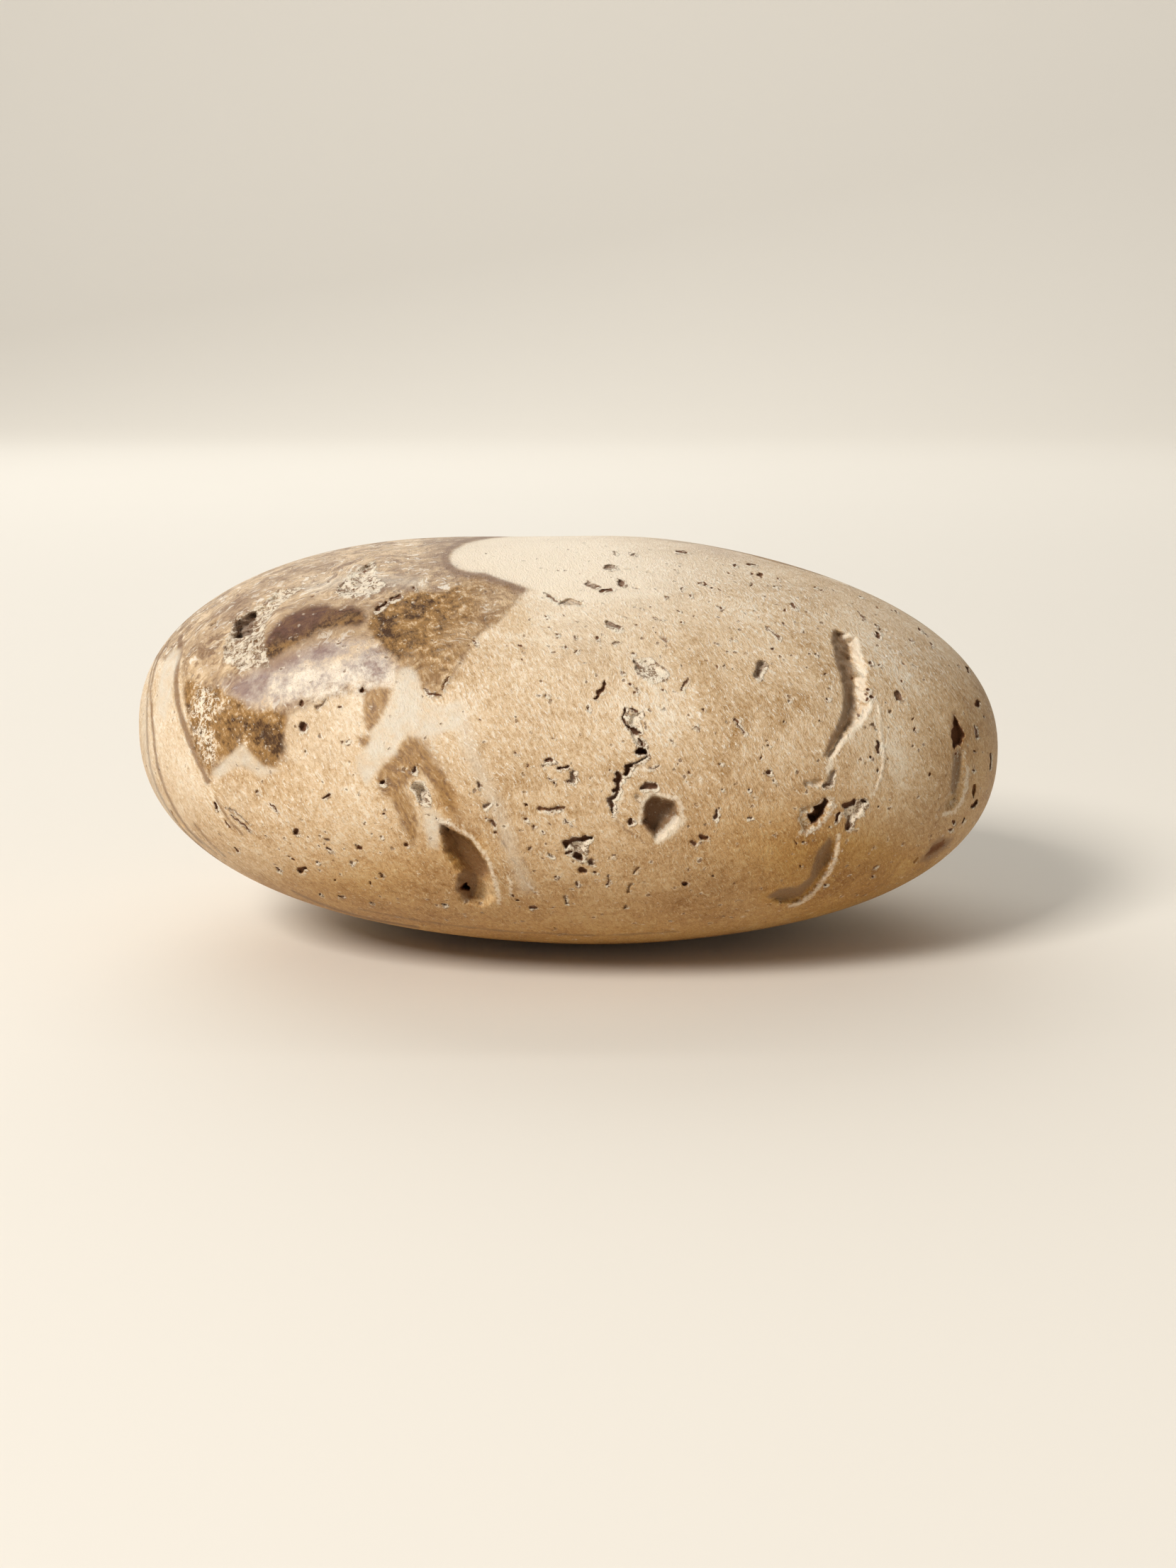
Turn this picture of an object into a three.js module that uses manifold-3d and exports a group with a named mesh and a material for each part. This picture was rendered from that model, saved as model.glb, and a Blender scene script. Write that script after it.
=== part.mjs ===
// A calcite palm stone: one ovoid piece of banded calcite, ground and polished to fit a hand.
//
// Sizes are in millimetres, +Z is up. The origin is on the resting surface, under the middle of
// the stone. The stone's broad polished face looks to -Y, its length lies along X.
//
// The surface is worked out as a distance from the stone's middle in every direction: a squarish
// ovoid, swollen a little here and there, with natural hollows sunk into it. A ball of triangles
// is split where the hollows have their rims, and its corners are then set at those distances.

import * as THREE from 'three';
import { mergeVertices } from 'three/addons/utils/BufferGeometryUtils.js';
import Module from 'manifold-3d';

// ---------------------------------------------------------------- driving dimensions

const LENGTH = 79.8; // along X, end to end
const DEPTH = 58; // along Y, face to back
const HEIGHT = 36.8; // along Z, as it lies
const OUTLINE_POWER = 2.25; // how square the outline is, seen from the front; 2 is an ellipse
const GIRTH_POWER = 2.15; // how square the girth is, from the face to the back
const LEAN = THREE.MathUtils.degToRad(-1.9); // how far the long axis dips to one side
const FOOT_TRIM = 0.25; // height of the flat rubbed on the underside, where the stone rests

// Low waves round the outline: how often each repeats, and its two shares of the radius.
const SWELLS = [
  { times: 3, even: 0, odd: 0.006 },
  { times: 4, even: 0.0015, odd: -0.005 },
  { times: 5, even: 0.007, odd: -0.004 },
];

// Longest edges of the triangles: on the plain surface, and at the rims of the hollows.
const PLAIN_EDGE = 5.2;
const RIM_EDGE = 0.88;
const EDGE_GROWTH = 1.45; // how fast the edges may grow with the distance from a rim
const BALL_DETAIL = 4; // subdivision of the ball that the splitting starts from
const SLIDE_SHARE = 0.45; // share of its shortest edge that a corner may slide to reach a rim
const THINNEST_SHARE = 0.3; // share of its area that a triangle keeps when a corner slides
const TINY = 1e-6; // keeps a division away from nought

// ---------------------------------------------------------------- the sides of the stone

// Each side is a flat chart in mm through the stone's middle: the hollows of that side are drawn
// on it and sink in where they meet the surface. The face is looked at from slightly above.
const FACE_TILT = THREE.MathUtils.degToRad(10.5);
const chart = (right, up) => ({
  right: new THREE.Vector3(...right),
  up: new THREE.Vector3(...up),
  toward: new THREE.Vector3(...right).cross(new THREE.Vector3(...up)),
});
const FACE = chart([1, 0, 0], [0, Math.sin(FACE_TILT), Math.cos(FACE_TILT)]);
const BACK = chart([-1, 0, 0], [0, 0, 1]);
const CROWN = chart([1, 0, 0], [0, 1, 0]);
const UNDERSIDE = chart([1, 0, 0], [0, -1, 0]);

// ---------------------------------------------------------------- the hollows

// A pocket is a closed outline of [across, up] corners. A third number is the width of the wall
// that starts at that corner, where it isn't the pocket's own wall width.
// A groove is a path of [across, up, half width] points.

const FACE_POCKETS = [
  {
    // six-sided socket, left by a crystal, with a slanting wall at its lower right
    depth: 1.9,
    wall: 0.5,
    outline: [
      [6.65, -5.7], [7.4, -5.15], [9.1, -5.65], [9.5, -6.6, 0.9], [9.55, -7.6, 1.1],
      [8.2, -8.9, 0.9], [7.6, -8.9], [6.45, -7.4],
    ],
  },
  {
    // drop-shaped cavity: a sharp rim on the right, an easy slope on the left
    depth: 2.1,
    wall: 0.45,
    outline: [
      [-10.2, -7.4], [-9, -7.95], [-7.7, -8.9], [-6.8, -9.95], [-6.2, -11.1, 0.8],
      [-5.9, -12.6, 1.4], [-5.6, -14.1, 1.6], [-6.6, -14.9, 1.6], [-8.2, -14.9, 1.4],
      [-9.1, -14.2, 1.2], [-9.1, -12.9, 1.1], [-8.9, -11.5, 1.3], [-9.9, -10.3, 1.2],
      [-10.2, -8.6, 0.8],
    ],
  },
  {
    // hole in the floor of the cavity
    depth: 3.6,
    wall: 0.4,
    outline: [[-8.8, -12.8], [-8.1, -12.5], [-7.8, -13.3], [-8.2, -13.8], [-8.9, -13.6]],
  },
  {
    // long bent groove with a steep left side and a slanting right side
    depth: 1.4,
    wall: 0.45,
    outline: [
      [23.5, 9.0, 0.6], [24.9, 8.6, 0.9], [25.4, 7.6, 1.1], [25.9, 5.6, 1.1], [25.6, 4.2, 1],
      [25, 3.2, 1], [24.9, 1.2, 1], [24.2, -0.3, 0.8], [22.2, -2.4, 0.4], [21.6, -2.1],
      [22.6, -0.2], [23.4, 1.2], [23.7, 3.2], [23.1, 5.9], [22.95, 8.2],
    ],
  },
  {
    // curved groove low on the right, with a broad pale outer wall
    depth: 1.1,
    wall: 0.8,
    outline: [
      [22.9, -8.9, 0.9], [23.1, -9.8, 0.9], [22.9, -11, 0.9], [22.2, -12.7, 0.9],
      [21.2, -14.2, 0.9], [20.2, -14.9], [18.8, -14.7], [17.3, -14.3], [17.6, -13.6],
      [18.8, -13.1], [20, -13], [21.2, -12.2], [21.3, -10.9], [21.5, -10], [22.2, -9],
    ],
  },
  {
    // slot near the right end
    depth: 1.3,
    wall: 0.4,
    outline: [[34.1, 1.6], [34.7, 0.6], [34.95, -0.2], [34.6, -1.1], [33.8, -1.6], [33.6, 0.4]],
  },
  {
    // smooth trough below that slot
    depth: 0.7,
    wall: 0.9,
    outline: [
      [33.6, -1.6], [35.1, -1], [35.3, -4.6], [34.8, -6.2], [34, -7], [33.1, -6.9],
      [33, -6.2, 0.4], [33.6, -4.4],
    ],
  },
  {
    // rough rock round the three-cornered hole
    depth: 0.45,
    wall: 0.5,
    outline: [
      [-28.9, 10], [-27, 11.1], [-25.2, 12.8], [-23, 13], [-25.2, 11], [-26.4, 9.2],
      [-25.2, 5.6], [-27.8, 5.6], [-29.4, 6.3], [-30, 7.6],
    ],
  },
  {
    // three-cornered hole
    depth: 2,
    wall: 0.4,
    outline: [[-28.9, 9.8], [-27, 10.9], [-26.8, 10.3], [-26.9, 8.2], [-28.9, 8]],
  },
  {
    // ragged hole, with a slope at its lower right
    depth: 2.1,
    wall: 0.4,
    outline: [
      [22.1, -5.3, 0.8], [22.5, -6, 0.9], [21.9, -7.1, 0.9], [21.1, -7.9], [20.4, -7.6],
      [20.5, -6.6], [20.8, -6.1], [21.4, -6], [21.9, -5.7],
    ],
  },
  {
    // ragged cavity above the drop-shaped one
    depth: 1.3,
    wall: 0.4,
    outline: [
      [-12.8, -4.1], [-11.7, -3.9], [-10.9, -5.5], [-11.2, -6.1], [-11.9, -5.8], [-12.3, -5],
    ],
  },
  {
    // bay at the lower right edge
    depth: 0.6,
    wall: 0.8,
    outline: [
      [31.4, -11, 0.4], [31.9, -10.3, 0.4], [32.6, -9.6, 0.4], [33.6, -9.4, 0.4], [34.1, -9.7],
      [33.6, -10.4], [32.4, -11], [31.6, -11.3],
    ],
  },
  {
    // crescent hollow
    depth: 0.9,
    wall: 0.4,
    outline: [[0.25, -9.8], [0.4, -8.8], [1, -8.5], [2.2, -8.5], [1.9, -9.6], [1.2, -9.9]],
  },
  {
    // pitted patch near the crown
    depth: 0.5,
    wall: 0.5,
    outline: [
      [-20, 12.2], [-19, 11.7], [-17.5, 11.9], [-15.8, 12.9], [-16.7, 13.6], [-17, 15.4],
      [-18.2, 14.8], [-19.5, 13.4],
    ],
  },
];

const FACE_GROOVES = [
  // ragged crack down the middle, with a hole in it
  {
    depth: 1.2,
    path: [
      [5.1, 1.8, 0.35], [5.1, 0.6, 0.35], [6, 0, 0.35], [6.2, -1.2, 0.6], [6.3, -1.9, 0.5],
      [5.5, -2.8, 0.4], [4.7, -3.8, 0.4], [4.2, -5, 0.5], [4.1, -6.6, 0.3],
    ],
  },
  { depth: 0.7, path: [[-35.2, -7.1, 0.3], [-34.8, -7.8, 0.45], [-34.1, -8.3, 0.4]] },
  { depth: 0.9, path: [[16.5, 5.7, 0.45], [16.2, 4.8, 0.4]] },
  { depth: 0.7, path: [[23.6, -6.1, 0.4], [24.4, -5.8, 0.45], [25.3, -5.9, 0.4]] },
  { depth: 0.9, path: [[1.2, -10.2, 0.45], [1.6, -10.3, 0.45]] },
  { depth: 0.5, path: [[22.1, -3.3, 0.4], [21.9, -4.1, 0.45], [20.6, -4.2, 0.35]] },
];

const BACK_POCKETS = [
  {
    // bean-shaped cavity
    depth: 1.5,
    wall: 0.7,
    outline: [
      [-17.2, 1.4], [-16.6, 2.8], [-14.8, 3.8], [-12.6, 3.9], [-11.2, 2.9], [-11.3, 1.8, 1.2],
      [-12.8, 1.3, 1.2], [-14.2, 0.3, 1.2], [-16, 0.2],
    ],
  },
  {
    // five-sided socket
    depth: 1.5,
    wall: 0.5,
    outline: [[19.2, -4.6], [20.9, -4], [22, -5.4, 0.9], [21.2, -7.1, 0.9], [19.3, -6.8]],
  },
  {
    // rough patch
    depth: 0.5,
    wall: 0.5,
    outline: [[-3.8, 9.2], [-2.2, 10.9], [0.6, 11.2], [1.4, 9.9], [-0.4, 9.4], [-1.3, 8.1]],
  },
];

const BACK_GROOVES = [
  { depth: 1.2, path: [[6, 8, 0.35], [8.6, 5.6, 0.75], [10.2, 2.4, 0.8], [11.6, -1.2, 0.35]] },
  { depth: 0.9, path: [[-24, -2, 0.35], [-25.4, -5, 0.7], [-24, -8, 0.6], [-21.2, -9.8, 0.35]] },
  { depth: 1.1, path: [[0.6, -4.8, 0.35], [0, -6, 0.6], [-1.3, -7, 0.4], [-1.5, -8.6, 0.35]] },
  { depth: 0.7, path: [[27.6, 4.2, 0.35], [28.6, 3.2, 0.45]] },
];

const CROWN_POCKETS = [
  {
    // shallow oval bay
    depth: 0.9,
    wall: 0.8,
    outline: [
      [-15, 13.6], [-13.4, 14.8], [-11.2, 14.9], [-9.9, 13.7], [-11.2, 12.5], [-13.8, 12.4],
    ],
  },
];

const CROWN_GROOVES = [
  { depth: 0.9, path: [[9.4, 11.2, 0.35], [12.6, 13.4, 0.7], [16.8, 14.2, 0.35]] },
  { depth: 0.7, path: [[-27.4, 8.6, 0.35], [-26.4, 11.2, 0.5]] },
];

const UNDERSIDE_POCKETS = [
  {
    // flat-floored chip
    depth: 0.8,
    wall: 0.7,
    outline: [[14.8, 8.6], [16.4, 9.9], [18.9, 9.4], [19.2, 7.6], [17, 6.8]],
  },
];

const UNDERSIDE_GROOVES = [
  { depth: 0.9, path: [[-20.4, -5.2, 0.35], [-18.2, -3.4, 0.7], [-16.6, -0.4, 0.4]] },
  { depth: 0.7, path: [[2.4, -16.2, 0.35], [4.6, -15.2, 0.5]] },
];

const SIDES = [
  { chart: FACE, pockets: FACE_POCKETS, grooves: FACE_GROOVES },
  { chart: BACK, pockets: BACK_POCKETS, grooves: BACK_GROOVES },
  { chart: CROWN, pockets: CROWN_POCKETS, grooves: CROWN_GROOVES },
  { chart: UNDERSIDE, pockets: UNDERSIDE_POCKETS, grooves: UNDERSIDE_GROOVES },
];

// ---------------------------------------------------------------- the ovoid

/** Distance from the stone's middle to its polished surface, along a unit direction. */
function polishedRadius(direction) {
  const along = direction.x * Math.cos(LEAN) + direction.z * Math.sin(LEAN);
  const across = direction.z * Math.cos(LEAN) - direction.x * Math.sin(LEAN);
  const outline =
    Math.abs((2 * along) / LENGTH) ** OUTLINE_POWER +
    Math.abs((2 * across) / HEIGHT) ** OUTLINE_POWER;
  const girth =
    outline ** (GIRTH_POWER / OUTLINE_POWER) + Math.abs((2 * direction.y) / DEPTH) ** GIRTH_POWER;
  return girth ** (-1 / GIRTH_POWER) * swell(direction);
}

/** Share by which the radius swells: waves round the outline that die away to face and back. */
function swell(direction) {
  const reach = Math.hypot(direction.x, direction.z);
  const turn = Math.atan2(direction.z, direction.x);
  return SWELLS.reduce(
    (share, { times, even, odd }) =>
      share + reach ** times * (even * Math.cos(times * turn) + odd * Math.sin(times * turn)),
    1,
  );
}

// ---------------------------------------------------------------- distances on a chart

/** The point of a stretch that is nearest to a point, with its distance and share of the way. */
function nearestOn([x, y], [fromX, fromY], [endX, endY]) {
  const runX = endX - fromX;
  const runY = endY - fromY;
  const share = ((x - fromX) * runX + (y - fromY) * runY) / (runX * runX + runY * runY);
  const along = THREE.MathUtils.clamp(share, 0, 1);
  const spot = [fromX + along * runX, fromY + along * runY];
  return { spot, along, distance: Math.hypot(x - spot[0], y - spot[1]) };
}

/** Whether a point lies inside a closed outline. */
function isInside([x, y], outline) {
  return outline.reduce((inside, [fromX, fromY], index) => {
    const [endX, endY] = outline[(index + 1) % outline.length];
    const spans = fromY > y !== endY > y;
    const crosses = spans && x < fromX + ((y - fromY) / (endY - fromY)) * (endX - fromX);
    return crosses ? !inside : inside;
  }, false);
}

/** Depth of a pocket at a point of its chart, and the way to its rim. */
function inPocket(point, { outline, wall, depth }) {
  let share = 1;
  let nearest = { distance: Infinity };
  outline.forEach((corner, index) => {
    const found = nearestOn(point, corner, outline[(index + 1) % outline.length]);
    share = Math.min(share, found.distance / (corner[2] ?? wall));
    nearest = found.distance < nearest.distance ? found : nearest;
  });
  const toRim = [nearest.spot[0] - point[0], nearest.spot[1] - point[1]];
  const sink = isInside(point, outline) ? depth * THREE.MathUtils.smoothstep(share, 0, 1) : 0;
  return { sink, toRim };
}

/** Depth of a groove at a point of its chart, and the way to its rim. */
function inGroove(point, { path, depth }) {
  let sink = 0;
  let toRim = [Infinity, Infinity];
  for (let index = 0; index + 1 < path.length; index += 1) {
    const { spot, distance, along } = nearestOn(point, path[index], path[index + 1]);
    const half = THREE.MathUtils.lerp(path[index][2], path[index + 1][2], along);
    const outward = (half - distance) / Math.max(distance, TINY);
    const way = [(point[0] - spot[0]) * outward, (point[1] - spot[1]) * outward];
    sink = Math.max(sink, depth * Math.sqrt(Math.max(0, 1 - (distance / half) ** 2)));
    toRim = Math.hypot(...way) < Math.hypot(...toRim) ? way : toRim;
  }
  return { sink, toRim };
}

/** How deep the hollows go at a point of the polished surface, and the way to the next rim. */
function hollowAt(point) {
  let sink = 0;
  let rim = Infinity;
  const toRim = new THREE.Vector3();
  SIDES.filter((side) => point.dot(side.chart.toward) > 0).forEach((side) => {
    const onChart = [point.dot(side.chart.right), point.dot(side.chart.up)];
    const found = [
      ...side.pockets.map((pocket) => inPocket(onChart, pocket)),
      ...side.grooves.map((groove) => inGroove(onChart, groove)),
    ];
    found.forEach((hollow) => {
      sink = Math.max(sink, hollow.sink);
      if (Math.hypot(...hollow.toRim) < rim) {
        rim = Math.hypot(...hollow.toRim);
        toRim.copy(side.chart.right).multiplyScalar(hollow.toRim[0]);
        toRim.addScaledVector(side.chart.up, hollow.toRim[1]);
      }
    });
  });
  return { sink, rim, toRim };
}

// ---------------------------------------------------------------- the net of triangles

/** A corner of the net: its direction, its place on the polished surface, and its hollow. */
function cornerToward(direction) {
  const place = direction.clone().multiplyScalar(polishedRadius(direction));
  return { direction, place, ...hollowAt(place) };
}

/** The ball that the net starts as: its corners and its triangles. */
function ball() {
  const sphere = new THREE.IcosahedronGeometry(1, BALL_DETAIL);
  sphere.deleteAttribute('normal');
  sphere.deleteAttribute('uv');
  const merged = mergeVertices(sphere);
  const { array, count } = merged.attributes.position;
  const corners = Array.from({ length: count }, (_, index) =>
    cornerToward(new THREE.Vector3().fromArray(array, 3 * index).normalize()),
  );
  const triangles = Array.from({ length: merged.index.count / 3 }, (_, index) =>
    Array.from(merged.index.array.slice(3 * index, 3 * index + 3)),
  );
  return { corners, triangles };
}

/** Longest edge allowed near a rim that is this far away. */
const edgeLimit = (rim) => Math.min(PLAIN_EDGE, RIM_EDGE + EDGE_GROWTH * rim);

const edgeKey = (first, second) => (first < second ? `${first} ${second}` : `${second} ${first}`);

/** The triangle with its corners turned so that its longest edge comes first. */
function longestFirst([a, b, c], corners) {
  const length = (first, second) => corners[first].place.distanceTo(corners[second].place);
  const lengths = [length(a, b), length(b, c), length(c, a)];
  const longest = lengths.indexOf(Math.max(...lengths));
  return [[a, b, c], [b, c, a], [c, a, b]][longest];
}

/** Keys of the edges to split, so that the net keeps its corners on its neighbours' corners. */
function edgesToSplit(triangles, corners) {
  const marked = new Set();
  triangles.forEach(([a, b, c]) => {
    const nearest = Math.min(corners[a].rim, corners[b].rim, corners[c].rim);
    if (corners[a].place.distanceTo(corners[b].place) > edgeLimit(nearest)) {
      marked.add(edgeKey(a, b));
    }
  });
  let before = -1;
  while (marked.size !== before) {
    before = marked.size;
    triangles
      .filter(([a, b, c]) => marked.has(edgeKey(b, c)) || marked.has(edgeKey(c, a)))
      .forEach(([a, b]) => marked.add(edgeKey(a, b)));
  }
  return marked;
}

/** Splits the marked edges once. The longest edge of each triangle comes first. */
function splitOnce(triangles, corners, marked) {
  const middles = new Map();
  const middleOf = (first, second) => {
    const key = edgeKey(first, second);
    if (!middles.has(key)) {
      const direction = corners[first].direction.clone().add(corners[second].direction);
      corners.push(cornerToward(direction.normalize()));
      middles.set(key, corners.length - 1);
    }
    return middles.get(key);
  };
  return triangles.flatMap(([a, b, c]) => {
    if (!marked.has(edgeKey(a, b))) {
      return [[a, b, c]];
    }
    const middle = middleOf(a, b);
    const left = marked.has(edgeKey(c, a))
      ? [[a, middle, middleOf(c, a)], [middle, c, middleOf(c, a)]]
      : [[a, middle, c]];
    const right = marked.has(edgeKey(b, c))
      ? [[middle, b, middleOf(b, c)], [middle, middleOf(b, c), c]]
      : [[middle, b, c]];
    return [...left, ...right];
  });
}

/** Twice the area of a triangle of the net, on the polished surface. */
function areaOf([a, b, c], corners) {
  const side = corners[b].place.clone().sub(corners[a].place);
  const turn = side.cross(corners[c].place.clone().sub(corners[a].place));
  return turn.dot(corners[a].direction);
}

/** Slides the corners that lie near a rim onto it, where no triangle gets too thin by it. */
function slideToRims(triangles, corners) {
  const around = corners.map(() => []);
  triangles.forEach((triangle) => triangle.forEach((index) => around[index].push(triangle)));
  corners.forEach((corner, index) => {
    const edges = around[index].flatMap((triangle) =>
      triangle.filter((other) => other !== index).map((other) => corners[other].place),
    );
    const shortest = Math.min(...edges.map((place) => place.distanceTo(corner.place)));
    if (corner.rim > SLIDE_SHARE * shortest) {
      return;
    }
    const before = around[index].map((triangle) => areaOf(triangle, corners));
    corners[index] = cornerToward(corner.place.clone().add(corner.toRim).normalize());
    const after = around[index].map((triangle) => areaOf(triangle, corners));
    if (after.some((area, which) => area < THINNEST_SHARE * before[which])) {
      corners[index] = corner;
    }
  });
}

/** The net of the whole stone, fine at the rims and coarse on the plain surface. */
function net() {
  const { corners, triangles: first } = ball();
  let triangles = first.map((triangle) => longestFirst(triangle, corners));
  let marked = edgesToSplit(triangles, corners);
  while (marked.size > 0) {
    triangles = splitOnce(triangles, corners, marked);
    triangles = triangles.map((triangle) => longestFirst(triangle, corners));
    marked = edgesToSplit(triangles, corners);
  }
  slideToRims(triangles, corners);
  return { corners, triangles };
}

// ---------------------------------------------------------------- the solid

const wasm = await Module();
wasm.setup();

/** A manifold-3d solid from vertex coordinates and triangle corners. */
function solid(coordinates, triangles) {
  const vertProperties = new Float32Array(coordinates);
  const triVerts = new Uint32Array(triangles);
  return new wasm.Manifold(new wasm.Mesh({ numProp: 3, vertProperties, triVerts }));
}

/** A manifold-3d solid of a box with these sizes, centred on a point. */
function slab(size, centre) {
  const box = new THREE.BoxGeometry(...size).translate(...centre);
  box.deleteAttribute('normal');
  box.deleteAttribute('uv');
  const merged = mergeVertices(box);
  return solid(merged.attributes.position.array, merged.index.array);
}

/** The stone, with the foot cut flat and set on the ground under its middle. */
function stoneGeometry() {
  const { corners, triangles } = net();
  const surface = corners.map(({ direction, place, sink }) =>
    place.clone().addScaledVector(direction, -sink),
  );
  const box = new THREE.Box3().setFromPoints(surface);
  const ground = box.min.z + FOOT_TRIM;
  const belowGround = slab([LENGTH, DEPTH, HEIGHT], [0, 0, ground - HEIGHT / 2]);
  const whole = solid(surface.flatMap((point) => point.toArray()), triangles.flat());
  const trimmed = whole.subtract(belowGround).getMesh();

  const geometry = new THREE.BufferGeometry();
  const coordinates = new THREE.BufferAttribute(trimmed.vertProperties, 3);
  geometry.setAttribute('position', coordinates);
  geometry.setIndex(new THREE.BufferAttribute(trimmed.triVerts, 1));
  const middle = box.getCenter(new THREE.Vector3());
  geometry.translate(-middle.x, -middle.y, -ground);
  geometry.computeVertexNormals();
  return geometry;
}

// ---------------------------------------------------------------- the part

/** Polished calcite: warm tan with a satin sheen. */
const calcite = new THREE.MeshStandardMaterial({ color: 0xcda97e, roughness: 0.42, metalness: 0 });

function palmStone() {
  const stone = new THREE.Mesh(stoneGeometry(), calcite);
  stone.name = 'palm_stone';
  return stone;
}

const part = new THREE.Group();
part.name = 'calcite_palm_stone';
part.add(palmStone());

export default part;
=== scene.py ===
"""A calcite palm stone: one polished, banded ovoid with natural hollows, on a pale studio floor."""

import math
from collections import namedtuple

import bmesh
import bpy
import numpy as np
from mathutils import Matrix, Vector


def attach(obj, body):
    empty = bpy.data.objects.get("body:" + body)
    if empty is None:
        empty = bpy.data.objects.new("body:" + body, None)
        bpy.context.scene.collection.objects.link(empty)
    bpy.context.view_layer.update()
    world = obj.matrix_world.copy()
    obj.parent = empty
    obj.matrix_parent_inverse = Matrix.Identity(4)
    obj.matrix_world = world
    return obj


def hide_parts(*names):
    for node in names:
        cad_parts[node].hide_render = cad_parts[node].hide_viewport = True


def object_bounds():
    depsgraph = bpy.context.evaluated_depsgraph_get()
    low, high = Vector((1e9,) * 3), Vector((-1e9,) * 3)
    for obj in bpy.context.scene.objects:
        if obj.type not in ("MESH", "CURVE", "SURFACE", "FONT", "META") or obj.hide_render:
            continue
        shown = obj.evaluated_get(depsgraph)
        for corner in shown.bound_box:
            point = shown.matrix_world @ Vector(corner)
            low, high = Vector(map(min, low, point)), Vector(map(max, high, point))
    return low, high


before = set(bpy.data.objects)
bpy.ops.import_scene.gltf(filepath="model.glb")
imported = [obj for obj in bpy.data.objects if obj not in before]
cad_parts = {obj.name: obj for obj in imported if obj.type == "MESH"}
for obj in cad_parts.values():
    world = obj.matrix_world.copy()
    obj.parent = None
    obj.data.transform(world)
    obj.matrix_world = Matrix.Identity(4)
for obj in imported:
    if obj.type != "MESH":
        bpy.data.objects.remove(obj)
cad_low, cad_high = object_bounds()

bl_info = {
    "name": "Calcite palm stone",
    "version": (1, 0, 0),
    "blender": (4, 5, 0),
    "location": "3D View > Sidebar > Palm stone",
    "description": "Makes a polished calcite palm stone with its bands, crystals and hollows",
    "category": "Object",
}

MM = 0.001
NODE = "palm_stone"
BODY = "root"
HALF_SIZES = (40, 29, 18.5)  # about half the stone's length, depth and height, in mm
MOST_TRIANGLES = 200_000

# ------------------------------------------------------------------ the sides of the stone

# Everything drawn on the stone is drawn in mm on a flat chart of one of its sides: the first
# number runs to the right and the second up, from the stone's middle. The face is looked at
# from slightly above.
FACE_TILT = math.radians(10.5)
SIDES = {
    "face": ((1, 0, 0), (0, math.sin(FACE_TILT), math.cos(FACE_TILT))),
    "back": ((-1, 0, 0), (0, 0, 1)),
    "crown": ((1, 0, 0), (0, 1, 0)),
    "underside": ((1, 0, 0), (0, -1, 0)),
}

# ------------------------------------------------------------------ the large hollows

# The depth is in mm. The next number is how dark the floor is, a painted shade of the hollow in a brown
# pit colour; flood is how far that dark climbs the walls, chalk how much of a pale crust they carry,
# thicker on the lower right as a painted highlight, and rough how uneven the floor is.
Hollow = namedtuple(
    "Hollow", "side depth dark chalk points wall rough flood", defaults=(0, 0, 1.7))

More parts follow.
